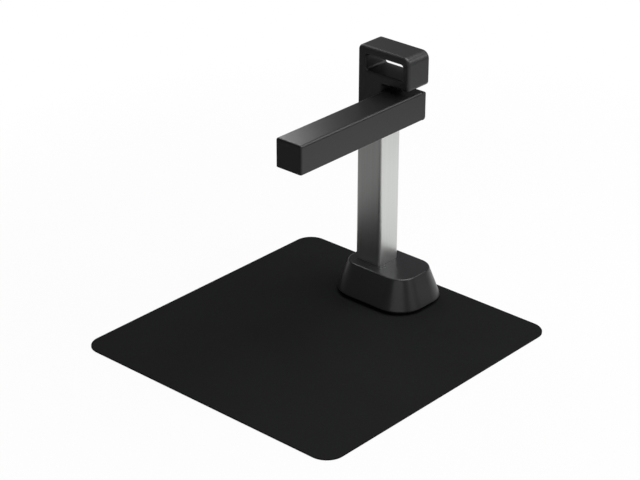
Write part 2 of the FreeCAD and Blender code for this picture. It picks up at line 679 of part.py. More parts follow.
def column_foot():
    """Cast foot: a flange with two ears and a collar, slotted on its sides, that the column stands in."""
    half_depth = COLUMN_DEPTH / 2 + FIT + FOOT_COLLAR_WALL
    centre = (FOOT_EAR_X0 + FOOT_EAR_X1) / 2
    flange = round_slab(
        centre, 0, FOOT_EAR_X1 - FOOT_EAR_X0, 2 * half_depth, FOOT_CORNER_R, PLATE_TOP, COLUMN_Z0
    )
    collar = round_slab(
        COLUMN_XC, 0, COLUMN_WIDTH + 2 * (FIT + FOOT_COLLAR_WALL), 2 * half_depth,
        COLUMN_EDGE_R + FOOT_COLLAR_WALL, PLATE_TOP, COLUMN_Z0 + FOOT_COLLAR_RISE
    )
    foot = flange.fuse(collar)
    socket = round_slab(
        COLUMN_XC, 0, COLUMN_WIDTH + 2 * FIT, COLUMN_DEPTH + 2 * FIT, COLUMN_EDGE_R + FIT,
        COLUMN_Z0, COLUMN_Z0 + FOOT_COLLAR_RISE + 1
    )
    foot = foot.cut(socket)
    slot_z0 = COLUMN_Z0 + FOOT_COLLAR_RISE / 3
    foot = foot.cut(
        box(COLUMN_XC - FOOT_SLOT_WIDTH / 2, COLUMN_XC + FOOT_SLOT_WIDTH / 2, -half_depth - 1,
            half_depth + 1, slot_z0, COLUMN_Z0 + FOOT_COLLAR_RISE + 1)
    )
    for x, y in CHANNELS:
        foot = foot.cut(rod_z(BOLT_R + HOLE_GAP, PLATE_TOP - 1, COLUMN_Z0 + 1, x, y))
    for x, y in EAR_SCREWS:
        foot = foot.cut(rod_z(SCREW_R + HOLE_GAP, PLATE_TOP - 1, COLUMN_Z0 + 1, x, y))
    return foot.removeSplitter()


def foot_screws():
    length = COLUMN_Z0 - SCREW_TIP_Z
    return Part.makeCompound(
        [screw_z(x, y, COLUMN_Z0 + SCREW_HEAD, False, length, SCREW_R, SCREW_HEAD_R, SCREW_HEAD)
         for x, y in EAR_SCREWS]
    )


def column_tube():
    """Extruded tube with softened edges and a screw channel in each inner corner."""
    tube = round_slab(COLUMN_XC, 0, COLUMN_WIDTH, COLUMN_DEPTH, COLUMN_EDGE_R, COLUMN_Z0, COLUMN_TOP)
    inner_width = COLUMN_WIDTH - 2 * COLUMN_WALL
    inner_depth = COLUMN_DEPTH - 2 * COLUMN_WALL
    cavity = round_slab(COLUMN_XC, 0, inner_width, inner_depth, COLUMN_INNER_R, COLUMN_Z0 - 1,
                        COLUMN_TOP + 1)
    for x, y in CHANNELS:
        cavity = cavity.cut(rod_z(CHANNEL_R, COLUMN_Z0 - 2, COLUMN_TOP + 2, x, y))
    tube = tube.cut(cavity)
    for x, y in CHANNELS:
        tube = tube.cut(rod_z(CHANNEL_BORE_R, COLUMN_Z0 - 1, COLUMN_TOP + 1, x, y))
    return tube.removeSplitter()


def column_bolts():
    """Long screws from under the base plate, through the foot, into the column's channels."""
    length = COLUMN_Z0 - PLATE_Z0 - BOLT_HEAD + BOLT_GRIP
    return Part.makeCompound(
        [screw_z(x, y, PLATE_Z0, True, length, BOLT_R, BOLT_HEAD_R, BOLT_HEAD) for x, y in CHANNELS]
    )


# Head and hinge

def head_corners(inset):
    """P-shaped outline in X and Z: the leg over the column and the block over the arm."""
    left = COLUMN_X0 + inset
    return [
        (left, COLUMN_TOP), (COLUMN_X1 - inset, COLUMN_TOP), (COLUMN_X1 - inset, OVERHANG_Z + inset),
        (ARM_X1 - inset, OVERHANG_Z + inset), (ARM_X1 - inset, HEAD_TOP - inset), (left, HEAD_TOP - inset)
    ]


def head_radii(inset):
    radii = [0.0, 0.0, HEAD_INNER_R + inset, HEAD_UNDER_R - inset, HEAD_TOP_RIGHT_R - inset,
             HEAD_TOP_LEFT_R - inset]
    return [max(r, 0.0) for r in radii]


def window_cut(grow, y0, y1):
    """Block that fills the carrying window, grown by grow on every side."""
    width = WINDOW_X1 - WINDOW_X0 + 2 * grow
    height = WINDOW_HEIGHT + 2 * grow
    corners = rectangle((WINDOW_X0 + WINDOW_X1) / 2, WINDOW_Z0 + WINDOW_HEIGHT / 2, width, height)
    return panel(corners, [WINDOW_CORNER_R + grow] * 4, y0, y1)


def in_window(edge, y):
    bounds = edge.BoundBox
    inside_x = WINDOW_X0 - 0.01 < bounds.XMin and bounds.XMax < WINDOW_X1 + 0.01
    inside_z = WINDOW_Z0 - 0.01 < bounds.ZMin and bounds.ZMax < WINDOW_Z1 + 0.01
    return lies_in_plane(edge, "Y", y) and inside_x and inside_z


def head_bosses():
    inset = HEAD_WALL + HEAD_BOSS_R - HEAD_BOSS_OVERLAP
    left = inset + HEAD_CORNER_SHIFT
    right = left + HEAD_RIGHT_SHIFT
    under_window = WINDOW_Z0 - HEAD_WALL - HEAD_BOSS_R - HEAD_BOSS_GAP
    return [
        (COLUMN_X0 + left, HEAD_TOP - left), (ARM_X1 - right, HEAD_TOP - right),
        (ARM_X1 - inset, OVERHANG_Z + inset), (COLUMN_X0 + inset, under_window),
        (COLUMN_X0 + inset, COLUMN_TOP + BRACKET_FLANGE + inset)
    ]


def head_body():
    """Moulded P-shaped case, open at the back, with the window's tunnel and five screw bosses."""
    outer = panel(head_corners(0), head_radii(0), HEAD_Y0, HEAD_SPLIT_Y)
    outer = fillet_where(
        outer, HEAD_FRONT_EDGE_R,
        lambda edge: lies_in_plane(edge, "Y", HEAD_Y0) and not lies_in_plane(edge, "Z", COLUMN_TOP)
    )
    cavity = panel(head_corners(HEAD_WALL), head_radii(HEAD_WALL), HEAD_Y0 + HEAD_WALL, HEAD_SPLIT_Y + 1)
    leg = box(COLUMN_X0 + HEAD_WALL, COLUMN_X1 - HEAD_WALL, HEAD_Y0 + HEAD_WALL, HEAD_SPLIT_Y + 1,
              COLUMN_TOP - 1, COLUMN_TOP + 1)
    body = outer.cut(cavity).cut(leg)
    tunnel = window_cut(HEAD_WALL, HEAD_Y0 + HEAD_WALL / 2, HEAD_SPLIT_Y)
    body = body.fuse(tunnel)
    for x, z in head_bosses():
        body = body.fuse(rod_y(HEAD_BOSS_R, HEAD_Y0 + HEAD_WALL / 2, HEAD_SPLIT_Y - HEAD_COVER_LIP, x, z))
    body = body.cut(window_cut(0, HEAD_Y0 - 1, HEAD_SPLIT_Y + 1))
    body = fillet_where(body, WINDOW_FRONT_EDGE_R, lambda edge: in_window(edge, HEAD_Y0))
    for x, z in head_bosses():
        bore = rod_y(SMALL_SCREW_R + THREAD_GAP, HEAD_Y0 + 2 * HEAD_WALL, HEAD_SPLIT_Y, x, z)
        body = body.cut(bore)
    port = rod_x(NOSE_R + HOLE_GAP, COLUMN_X1 - HEAD_WALL - 1, COLUMN_X1 + 1, HINGE_Y, HINGE_Z)
    return body.cut(port).removeSplitter()


def head_rear_cover():
    """Back plate of the head with rounded edges, a locating lip, the window and sunk screw holes."""
    cover = panel(head_corners(0), head_radii(0), HEAD_SPLIT_Y, HEAD_Y1)
    cover = fillet_where(
        cover, HEAD_COVER_EDGE_R,
        lambda edge: lies_in_plane(edge, "Y", HEAD_Y1) and not lies_in_plane(edge, "Z", COLUMN_TOP)
    )
    gap = HEAD_WALL + FIT
    lip = panel(head_corners(gap), head_radii(gap), HEAD_SPLIT_Y - HEAD_COVER_LIP, HEAD_SPLIT_Y)
    band = gap + HEAD_LIP_BAND
    hollow = panel(
        head_corners(band), head_radii(band), HEAD_SPLIT_Y - HEAD_COVER_LIP - 1, HEAD_SPLIT_Y
    )
    lip = lip.cut(hollow).cut(window_cut(HEAD_WALL + FIT, HEAD_SPLIT_Y - 5, HEAD_SPLIT_Y + 1))
    for x, z in head_bosses():
        lip = lip.cut(rod_y(HEAD_BOSS_R + FIT, HEAD_SPLIT_Y - HEAD_COVER_LIP - 1, HEAD_SPLIT_Y, x, z))
    cover = cover.cut(window_cut(0, HEAD_SPLIT_Y - 5, HEAD_Y1 + 1))
    cover = fillet_where(cover, WINDOW_BACK_EDGE_R, lambda edge: in_window(edge, HEAD_Y1))
    cover = cover.fuse(lip)
    seat = HEAD_SPLIT_Y + HEAD_SCREW_SEAT
    for x, z in head_bosses():
        cover = cover.cut(rod_y(SMALL_SCREW_R + HOLE_GAP, HEAD_SPLIT_Y - 5, HEAD_Y1 + 1, x, z))
        cover = cover.cut(rod_y(SMALL_HEAD_R + HOLE_GAP, seat, HEAD_Y1 + 1, x, z))
    return cover.removeSplitter()


def head_screws():
    seat = HEAD_SPLIT_Y + HEAD_SCREW_SEAT
    screws = []
    for x, z in head_bosses():
        head = rod_y(SMALL_HEAD_R, seat, seat + SMALL_HEAD, x, z)
        shank = rod_y(SMALL_SCREW_R, HEAD_SPLIT_Y - HEAD_SCREW_GRIP, seat, x, z)
        screws.append(head.fuse(shank).removeSplitter())
    return Part.makeCompound(screws)


def hinge_bracket():
    """Cast bracket: a tenon in the column, a flange on its rim, a ribbed neck and the shaft's bearing."""
    inner_width = COLUMN_WIDTH - 2 * (COLUMN_WALL + FIT)
    tenon_depth = 2 * (CHANNEL_DY - CHANNEL_R - FIT)
    tenon = box(
        COLUMN_XC - inner_width / 2, COLUMN_XC + inner_width / 2, -tenon_depth / 2, tenon_depth / 2,
        COLUMN_TOP - TENON_LENGTH, COLUMN_TOP
    )
    tenon = tenon.cut(
        box(COLUMN_XC - inner_width / 4, COLUMN_XC + inner_width / 4, -tenon_depth / 4, tenon_depth / 4,
            COLUMN_TOP - TENON_LENGTH - 1, COLUMN_TOP - BRACKET_RIB)
    )
    flange_width = COLUMN_WIDTH - 2 * (HEAD_WALL + FIT)
    flange_y0 = HEAD_Y0 + HEAD_WALL + FIT
    flange_y1 = HEAD_SPLIT_Y - HEAD_COVER_LIP - 2 * FIT
    flange_top = COLUMN_TOP + BRACKET_FLANGE
    flange = box(
        COLUMN_XC - flange_width / 2, COLUMN_XC + flange_width / 2, flange_y0, flange_y1,
        COLUMN_TOP, flange_top
    )
    bearing = rod_x(BEARING_R, BEARING_X0, BEARING_X1, HINGE_Y, HINGE_Z)
    neck = box(
        BEARING_X0, BEARING_X1, HINGE_Y - BEARING_R + BRACKET_RIB, HINGE_Y + BEARING_R - BRACKET_RIB,
        COLUMN_TOP, HINGE_Z
    )
    rib = box(
        (BEARING_X0 + BEARING_X1 - BRACKET_RIB) / 2, (BEARING_X0 + BEARING_X1 + BRACKET_RIB) / 2,
        HINGE_Y - BEARING_R, HINGE_Y + BEARING_R, COLUMN_TOP, HINGE_Z
    )
    nose = rod_x(NOSE_R, BEARING_X1 - 1, COLUMN_X1, HINGE_Y, HINGE_Z)
    bracket = tenon.fuse([flange, bearing, neck, rib, nose])
    bracket = bracket.cut(rod_x(SHAFT_R + RUNNING, BEARING_X0 - 1, COLUMN_X1 + 1, HINGE_Y, HINGE_Z))
    for x, y in CHANNELS:
        bracket = bracket.cut(rod_z(BOLT_R + HOLE_GAP, COLUMN_TOP - 1, flange_top + 1, x, y))
        bracket = bracket.cut(rod_z(BOLT_HEAD_R + HOLE_GAP, flange_top - BOLT_SINK, HINGE_Z, x, y))
    for x, z in head_bosses():
        bracket = bracket.cut(rod_y(HEAD_BOSS_R + HOLE_GAP, HEAD_Y0, HEAD_Y1, x, z))
    return bracket.removeSplitter()


def bracket_screws():
    seat = COLUMN_TOP + BRACKET_FLANGE - BOLT_SINK
    return Part.makeCompound(
        [screw_z(x, y, seat + BOLT_HEAD, False, BOLT_GRIP, BOLT_R, BOLT_HEAD_R, BOLT_HEAD)
         for x, y in CHANNELS]
    )


def hinge_shaft():
    """Hollow shaft through bracket and hub, with a round head inside the leg and a plain far end."""
    end = NUT_X0 + NUT_THICKNESS + SHAFT_END
    shaft = rod_x(SHAFT_R, BEARING_X0 - 1, end, HINGE_Y, HINGE_Z)
    shaft = shaft.fuse(rod_x(SHAFT_HEAD_R, BEARING_X0 - SHAFT_HEAD, BEARING_X0, HINGE_Y, HINGE_Z))
    shaft = shaft.cut(rod_x(SHAFT_BORE_R, BEARING_X0 - SHAFT_HEAD - 1, end + 1, HINGE_Y, HINGE_Z))
    return shaft.removeSplitter()


def washer(x0, x1):
    ring = rod_x(WASHER_R, x0, x1, HINGE_Y, HINGE_Z)
    return ring.cut(rod_x(SHAFT_R + RUNNING, x0 - 1, x1 + 1, HINGE_Y, HINGE_Z))


def hinge_washers():
    """Friction washers: a thick one between bracket and hub, two thin ones under the nut."""
    inner = washer(COLUMN_X1, HUB_X0 - MOVING_GAP)
    outer = [washer(HUB_X1 + MOVING_GAP + i * WASHER_THICKNESS,
                    HUB_X1 + MOVING_GAP + (i + 1) * WASHER_THICKNESS - 0.1) for i in range(2)]
    return Part.makeCompound([inner] + outer)


def hinge_nut():
    """Hexagon lock nut on the shaft's far end."""
    r = NUT_ACROSS_FLATS / math.sqrt(3)
    points = []
    for i in range(7):
        turn = math.radians(60 * i)
        points.append(vec(NUT_X0, HINGE_Y + r * math.cos(turn), HINGE_Z + r * math.sin(turn)))
    nut = Part.Face(Part.makePolygon(points)).extrude(vec(NUT_THICKNESS, 0, 0))
    return nut.cut(rod_x(SHAFT_R + RUNNING, NUT_X0 - 1, NUT_X0 + NUT_THICKNESS + 1, HINGE_Y, HINGE_Z))


# Arm

def arm_corners(inset):
    return rectangle(ARM_XC, HINGE_Z, ARM_WIDTH - 2 * inset, ARM_HEIGHT - 2 * inset)


ARM_RADII = [ARM_LOWER_EDGE_R, ARM_LOWER_EDGE_R, ARM_EDGE_R, ARM_EDGE_R]
HOUSING_Y0 = ARM_Y0 + ARM_FRONT_CAP
HOUSING_Y1 = ARM_Y1 - ARM_REAR_CAP
COVER_Y0 = HOUSING_Y0 + FIT
COVER_Y1 = HOUSING_Y1 - FIT
COVER_TOP = ARM_Z0 + LOWER_COVER
HUB_Y0 = HINGE_Y - HUB_FRONT
HUB_Y1 = HOUSING_Y1 - ARM_CAP_PLUG - HUB_BACK_GAP
HUB_Z0 = COVER_TOP + RAIL + FIT
HUB_Z1 = ARM_Z1 - ARM_WALL - FIT


def hub_screw_places():
    angles = (135, 180, 225)
    return [
        (HINGE_Y + HUB_SCREW_PCR * math.cos(math.radians(a)),
         HINGE_Z + HUB_SCREW_PCR * math.sin(math.radians(a)))
        for a in angles
    ]


def cover_screw_places():
    front = HOUSING_Y0 + ARM_CAP_PLUG / 2
    back = HUB_Y0 + HUB_LIP / 2
    dx = ARM_WIDTH / 2 - ARM_WALL - RAIL - SCREW_HEAD_R - COVER_SCREW_MARGIN
    hub_x = (HUB_X0 + HUB_X1) / 2
    return [(ARM_XC - dx, front), (ARM_XC + dx, front), (hub_x - HUB_LIP_SCREW_X, back),
            (hub_x + HUB_LIP_SCREW_X, back)]


def arm_housing():
    """Channel section open below, with rails over the lower cover and the hinge opening in its left wall."""
    housing = panel(arm_corners(0), ARM_RADII, HOUSING_Y0, HOUSING_Y1)
    x0 = ARM_X0 + ARM_WALL
    x1 = ARM_X1 - ARM_WALL
    housing = housing.cut(box(x0, x1, HOUSING_Y0 - 1, HOUSING_Y1 + 1, ARM_Z0 - 1, ARM_Z1 - ARM_WALL))
    for a, b in ((x0 - 0.5, x0 + RAIL), (x1 - RAIL, x1 + 0.5)):
        housing = housing.fuse(box(a, b, HOUSING_Y0, HOUSING_Y1, COVER_TOP, COVER_TOP + RAIL))
    housing = housing.cut(
        rod_x(WASHER_R + TURNING_GAP, ARM_X0 - 1, ARM_X0 + ARM_WALL + 1, HINGE_Y, HINGE_Z)
    )
    for y, z in hub_screw_places():
        housing = housing.cut(rod_x(SMALL_SCREW_R + HOLE_GAP, ARM_X0 - 1, ARM_X0 + ARM_WALL + 1, y, z))
        housing = housing.cut(rod_x(SMALL_HEAD_R + HOLE_GAP, ARM_X0 - 1, ARM_X0 + SMALL_HEAD, y, z))
    for low, high in ((HOUSING_Y0 - 1, HOUSING_Y0 + ARM_CAP_PLUG), (HUB_Y1, HOUSING_Y1 + 1)):
        for a, b in ((x0, x0 + RAIL + 0.01), (x1 - RAIL - 0.01, x1)):
            housing = housing.cut(box(a, b, low, high, COVER_TOP - 0.5, COVER_TOP + RAIL + 0.5))
    return housing.removeSplitter()


def cap_plug(y0, y1):
    """Hollow spigot of an end cap: it fills the housing's section above the lower cover."""
    x0 = ARM_X0 + ARM_WALL + FIT
    x1 = ARM_X1 - ARM_WALL - FIT
    plug = box(x0, x1, y0, y1, COVER_TOP, ARM_Z1 - ARM_WALL - FIT)
    return plug.cut(
        box(x0 + ARM_CAP_BAND, x1 - ARM_CAP_BAND, y0 - 1, y1 + 1, COVER_TOP + 3 * ARM_CAP_BAND,
            ARM_Z1 - ARM_WALL - FIT - ARM_CAP_BAND)
    )


def arm_front_cap():
    """End cap at the tip: a plate rounded like the bar itself, a spigot and two screw bores."""
    def is_lower(edge):
        return lies_in_plane(edge, "Z", ARM_Z0)

    def is_joint(edge):
        return lies_in_plane(edge, "Y", HOUSING_Y0)
    plate = box(ARM_X0, ARM_X1, ARM_Y0, HOUSING_Y0, ARM_Z0, ARM_Z1)
    plate = fillet_where(plate, ARM_EDGE_R, lambda edge: not is_joint(edge) and not is_lower(edge))
    plate = fillet_where(plate, ARM_LOWER_EDGE_R, lambda edge: not is_joint(edge) and is_lower(edge))
    cap = plate.fuse(cap_plug(HOUSING_Y0, HOUSING_Y0 + ARM_CAP_PLUG))
    for x, y in cover_screw_places()[:2]:
        cap = cap.cut(rod_z(SCREW_R + THREAD_GAP, ARM_Z0 - 1, COVER_TOP + COVER_SCREW_GRIP + HOLE_GAP, x, y))
    return cap.removeSplitter()


def arm_rear_cap():
    """End cap behind the hinge, rounded above and below so that it swings clear of the head."""
    def side(a, b):
        return vec(ARM_X0, a, b)
    corners = [(HOUSING_Y1, ARM_Z0), (ARM_Y1, ARM_Z0), (ARM_Y1, ARM_Z1), (HOUSING_Y1, ARM_Z1)]
    cap = Part.Face(outline(corners, [0.0, ARM_CAP_R, ARM_CAP_R, 0.0], side)).extrude(vec(ARM_WIDTH, 0, 0))
    cap = cap.fuse(cap_plug(HOUSING_Y1 - ARM_CAP_PLUG, HOUSING_Y1))
    return cap.removeSplitter()


def arm_hub():
    """Cast hub that turns on the shaft, with a lightening pocket and bores for wall and cover screws."""
    def side(a, b):
        return vec(HUB_X0, a, b)
    corners = [(HUB_Y0, HUB_Z0), (HUB_Y1, HUB_Z0), (HUB_Y1, HUB_Z1), (HUB_Y0, HUB_Z1)]
    hub = Part.Face(outline(corners, [HUB_CORNER_R] * 4, side)).extrude(vec(HUB_WIDTH, 0, 0))
    hub = hub.fuse(box(HUB_X0, HUB_X1, HUB_Y0, HUB_Y0 + HUB_LIP, COVER_TOP, HUB_Z0 + HUB_LIP_RISE))
    hub = hub.cut(rod_x(SHAFT_R + RUNNING, HUB_X0 - 1, HUB_X1 + 1, HINGE_Y, HINGE_Z))
    ring = rod_x(SHAFT_R + HUB_RING_WALL, HUB_X0, HUB_X1 + 1, HINGE_Y, HINGE_Z)
    pocket = box(HUB_X0 + 2 * HUB_WALL, HUB_X1 + 1, HUB_Y0 + HUB_LIP, HUB_Y1 - HUB_WALL,
                 HUB_Z0 + HUB_WALL, HUB_Z1 - HUB_WALL)
    hub = hub.cut(pocket.cut(ring))
    hub_bore_end = ARM_X0 + ARM_WALL + HUB_SCREW_GRIP + HOLE_GAP
    for y, z in hub_screw_places():
        hub = hub.cut(rod_x(SMALL_SCREW_R + THREAD_GAP, HUB_X0 - 1, hub_bore_end, y, z))
    for x, y in cover_screw_places()[2:]:
        hub = hub.cut(rod_z(SCREW_R + THREAD_GAP, ARM_Z0 - 1, COVER_TOP + COVER_SCREW_GRIP + HOLE_GAP, x, y))
    rail_x0 = ARM_X0 + ARM_WALL - 1
    rail = box(rail_x0, ARM_X0 + ARM_WALL + RAIL + FIT, HUB_Y0 - 1, HUB_Y1 + 1, COVER_TOP - 1,
               COVER_TOP + RAIL + FIT)
    return hub.cut(rail).removeSplitter()


def hub_screws():
    screws = []
    for y, z in hub_screw_places():
        head = rod_x(SMALL_HEAD_R, ARM_X0 + FLUSH_GAP, ARM_X0 + SMALL_HEAD, y, z)
        shank = rod_x(SMALL_SCREW_R, ARM_X0 + SMALL_HEAD, ARM_X0 + ARM_WALL + HUB_SCREW_GRIP, y, z)
        screws.append(head.fuse(shank).removeSplitter())
    return Part.makeCompound(screws)


def camera_posts():
    return four(CAMERA_POST_PITCH / 2, CAMERA_POST_PITCH / 2, ARM_XC, CAMERA_Y)


def light_posts():
    dx = LIGHT_WIDTH / 2 + LIGHT_FLANGE + POST_R - LIGHT_POST_OVERLAP
    return [(ARM_XC + sx * dx, y) for sx in (-1, 1) for y in (LIGHT_Y0 + LIGHT_END, LIGHT_Y1 - LIGHT_END)]


def arm_lower_cover():
    """Moulded cover under the arm: lens window seat, light slot, posts for both boards and screw holes."""
    x0 = ARM_X0 + ARM_WALL + FIT
    x1 = ARM_X1 - ARM_WALL - FIT
    cover = box(x0, x1, COVER_Y0, COVER_Y1, ARM_Z0, COVER_TOP)
    for x, y in camera_posts():
        cover = cover.fuse(rod_z(POST_R, COVER_TOP - 0.5, COVER_TOP + CAMERA_BOARD_RISE, x, y))
    for x, y in light_posts():
        cover = cover.fuse(rod_z(POST_R, COVER_TOP - 0.5, COVER_TOP + LIGHT_BOARD_RISE, x, y))
    cover = cover.cut(rod_z(WINDOW_GLASS_R - WINDOW_GLASS_SEAT, ARM_Z0 - 1, COVER_TOP + 1, ARM_XC, CAMERA_Y))
    cover = cover.cut(rod_z(WINDOW_GLASS_R + FIT, ARM_Z0 - 1, ARM_Z0 + WINDOW_GLASS, ARM_XC, CAMERA_Y))
    mid = (LIGHT_Y0 + LIGHT_Y1) / 2
    cover = cover.cut(
        round_slab(ARM_XC, mid, LIGHT_WIDTH + 2 * FIT, LIGHT_LENGTH + 2 * FIT, LIGHT_CORNER_R + FIT,
                   ARM_Z0 - 1, COVER_TOP + 1)
    )
    for x, y in camera_posts():
        cover = cover.cut(
            rod_z(SMALL_SCREW_R + THREAD_GAP, COVER_TOP + 3, COVER_TOP + CAMERA_BOARD_RISE + 1, x, y)
        )
    for x, y in light_posts():
        cover = cover.cut(
            rod_z(SMALL_SCREW_R + THREAD_GAP, COVER_TOP + 1, COVER_TOP + LIGHT_BOARD_RISE + 1, x, y)
        )
    for x, y in cover_screw_places():
        cover = cover.cut(rod_z(SCREW_R + HOLE_GAP, ARM_Z0 - 1, COVER_TOP + 1, x, y))
        cover = cover.cut(rod_z(SCREW_HEAD_R + HOLE_GAP, ARM_Z0 - 1, ARM_Z0 + COVER_SCREW_SEAT, x, y))
    return cover.removeSplitter()


def arm_screws():
    length = LOWER_COVER - COVER_SCREW_SEAT + COVER_SCREW_GRIP
    return Part.makeCompound(
        [screw_z(x, y, ARM_Z0 + COVER_SCREW_SEAT - COVER_SCREW_HEAD, True, length, SCREW_R, SCREW_HEAD_R,
                 COVER_SCREW_HEAD) for x, y in cover_screw_places()]
    )


def camera_board():
    z0 = COVER_TOP + CAMERA_BOARD_RISE
    board = round_slab(
        ARM_XC, CAMERA_Y, CAMERA_BOARD_SIDE, CAMERA_BOARD_SIDE, CAMERA_BOARD_CORNER_R, z0,
        z0 + BOARD_THICKNESS
    )
    half = CAMERA_CHIP / 2
    chip = box(ARM_XC - half, ARM_XC + half, CAMERA_Y - half, CAMERA_Y + half, z0 + BOARD_THICKNESS,
               z0 + BOARD_THICKNESS + CHIP_THICKNESS)
    board = board.fuse(chip)
    for x, y in camera_posts():
        board = board.cut(rod_z(SMALL_SCREW_R + HOLE_GAP, z0 - 1, z0 + BOARD_THICKNESS + 1, x, y))
    return board.removeSplitter()


def camera_screws():
    z0 = COVER_TOP + CAMERA_BOARD_RISE + BOARD_THICKNESS
    return Part.makeCompound(
        [screw_z(x, y, z0 + SMALL_HEAD, False, CAMERA_SCREW_LENGTH, SMALL_SCREW_R, SMALL_HEAD_R, SMALL_HEAD)
         for x, y in camera_posts()]
    )


LENS_Z1 = COVER_TOP + CAMERA_BOARD_RISE
LENS_HOLDER_Z0 = LENS_Z1 - LENS_HOLDER_HEIGHT
LENS_Z0 = ARM_Z0 + WINDOW_GLASS + LENS_RISE


def lens_holder():
    """Square holder under the camera board with the round bore that the barrel screws into."""
    holder = round_slab(
        ARM_XC, CAMERA_Y, LENS_HOLDER_SIDE, LENS_HOLDER_SIDE, LENS_HOLDER_CORNER_R, LENS_HOLDER_Z0, LENS_Z1
    )
    roof = LENS_Z1 - LENS_HOLDER_ROOF
    return holder.cut(rod_z(LENS_R + THREAD_GAP, LENS_HOLDER_Z0 - 1, roof, ARM_XC, CAMERA_Y))


def lens_barrel():
    """Turned barrel with a wider front ring, a grip groove and the front lens's seat."""
    def half_section(points):
        face = Part.Face(Part.makePolygon([vec(ARM_XC + r, CAMERA_Y, z) for r, z in points + points[:1]]))
        return face.revolve(vec(ARM_XC, CAMERA_Y, 0), vec(0, 0, 1), 360)
    top = LENS_Z1 - LENS_HOLDER_ROOF - THREAD_GAP
    ring = LENS_R + LENS_RING
    ring_top = LENS_Z0 + LENS_RING_HEIGHT
    groove = ring - LENS_GROOVE
    groove_z0 = LENS_Z0 + LENS_GROOVE_Z0
    groove_z1 = LENS_Z0 + LENS_GROOVE_Z1
    seat = LENS_Z0 + LENS_SEAT
    return half_section([
        (0, top), (LENS_R, top), (LENS_R, ring_top), (ring, ring_top), (ring, groove_z1),
        (groove, groove_z1 - LENS_GROOVE_SLOPE), (groove, groove_z0 + LENS_GROOVE_SLOPE),
        (ring, groove_z0), (ring, LENS_Z0 + LENS_CHAMFER), (ring - LENS_CHAMFER, LENS_Z0),
        (LENS_GLASS_R + LENS_FUNNEL, LENS_Z0), (LENS_GLASS_R, seat - LENS_GLASS_EDGE),
        (LENS_GLASS_R, seat), (0, seat)
    ])


def lens_glass():
    """Front lens: a flat back in the barrel's seat and a domed face looking down."""
    seat = LENS_Z0 + LENS_SEAT
    edge_z = seat - LENS_GLASS_EDGE
    disc = rod_z(LENS_GLASS_R - THREAD_GAP, edge_z, seat, ARM_XC, CAMERA_Y)
    r = dome_radius(LENS_GLASS_R, LENS_GLASS_DOME)
    ball = Part.makeSphere(r, vec(ARM_XC, CAMERA_Y, edge_z + r - LENS_GLASS_DOME))
    cap = ball.common(rod_z(LENS_GLASS_R - THREAD_GAP, ARM_Z0, seat - LENS_GLASS_EDGE / 2, ARM_XC, CAMERA_Y))
    return disc.fuse(cap).removeSplitter()


def camera_window():
    return rod_z(WINDOW_GLASS_R, ARM_Z0 + FLUSH_GAP, ARM_Z0 + WINDOW_GLASS, ARM_XC, CAMERA_Y)


LIGHT_BOARD_Z0 = COVER_TOP + LIGHT_BOARD_RISE


def light_board():
    width = LIGHT_WIDTH + 2 * (LIGHT_FLANGE + 2 * POST_R - LIGHT_POST_OVERLAP)
    board = box(ARM_XC - width / 2, ARM_XC + width / 2, LIGHT_Y0, LIGHT_Y1, LIGHT_BOARD_Z0,
                LIGHT_BOARD_Z0 + LIGHT_BOARD_THICKNESS)
    for x, y in light_posts():
        board = board.cut(rod_z(SMALL_SCREW_R + HOLE_GAP, LIGHT_BOARD_Z0 - 1, LIGHT_BOARD_Z0 + 2, x, y))
    return board


def light_screws():
    z1 = LIGHT_BOARD_Z0 + LIGHT_BOARD_THICKNESS
    return Part.makeCompound(
        [screw_z(x, y, z1 + SMALL_HEAD, False, LIGHT_BOARD_THICKNESS + LIGHT_SCREW_GRIP, SMALL_SCREW_R,
                 SMALL_HEAD_R, SMALL_HEAD) for x, y in light_posts()]
    )


def light_chips():
    """Row of light chips under the board, evenly spread along the diffuser."""
    pitch = (LIGHT_LENGTH - 2 * LIGHT_END) / (LIGHT_CHIP_COUNT - 1)
    chips = []
    for i in range(LIGHT_CHIP_COUNT):
        y = LIGHT_Y0 + LIGHT_END + i * pitch
        chips.append(box(ARM_XC - LIGHT_CHIP / 2, ARM_XC + LIGHT_CHIP / 2, y - LIGHT_CHIP / 2,
                         y + LIGHT_CHIP / 2, LIGHT_BOARD_Z0 - LIGHT_CHIP_THICKNESS, LIGHT_BOARD_Z0))
    return Part.makeCompound(chips)


def light_diffuser():
    """Opal strip flush with the arm's underside, held by a flange on top of the lower cover."""
    mid = (LIGHT_Y0 + LIGHT_Y1) / 2
    flange_top = COVER_TOP + LIGHT_FLANGE_THICKNESS
    strip = round_slab(ARM_XC, mid, LIGHT_WIDTH, LIGHT_LENGTH, LIGHT_CORNER_R, ARM_Z0 + FLUSH_GAP, flange_top)
    flange = round_slab(
        ARM_XC, mid, LIGHT_WIDTH + 2 * LIGHT_FLANGE, LIGHT_LENGTH + 2 * LIGHT_FLANGE, LIGHT_CORNER_R,
        COVER_TOP, flange_top
    )
    diffuser = strip.fuse(flange)
    for x, y in light_posts():
        diffuser = diffuser.cut(rod_z(POST_R + FIT, COVER_TOP - 1, flange_top + 1, x, y))
    return diffuser.removeSplitter()


NODES = [
    mat, base_shell, base_plate, foot_pads, base_screws, ballast_weight, ballast_screws, main_board,
    board_screws, usb_socket, power_socket, power_button, power_switch, column_foot, foot_screws,
    column_tube, column_bolts, head_body, head_rear_cover, head_screws, hinge_bracket, bracket_screws,
    hinge_shaft, hinge_washers, hinge_nut, arm_housing, arm_front_cap, arm_rear_cap, arm_hub, hub_screws,
    arm_lower_cover, arm_screws, camera_board, camera_screws, lens_holder, lens_barrel, lens_glass,
    camera_window, light_board, light_screws, light_chips, light_diffuser
]

os.makedirs("parts", exist_ok=True)
for make in NODES:
    make().exportStep("parts/" + make.__name__ + ".step")
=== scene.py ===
import json
import math

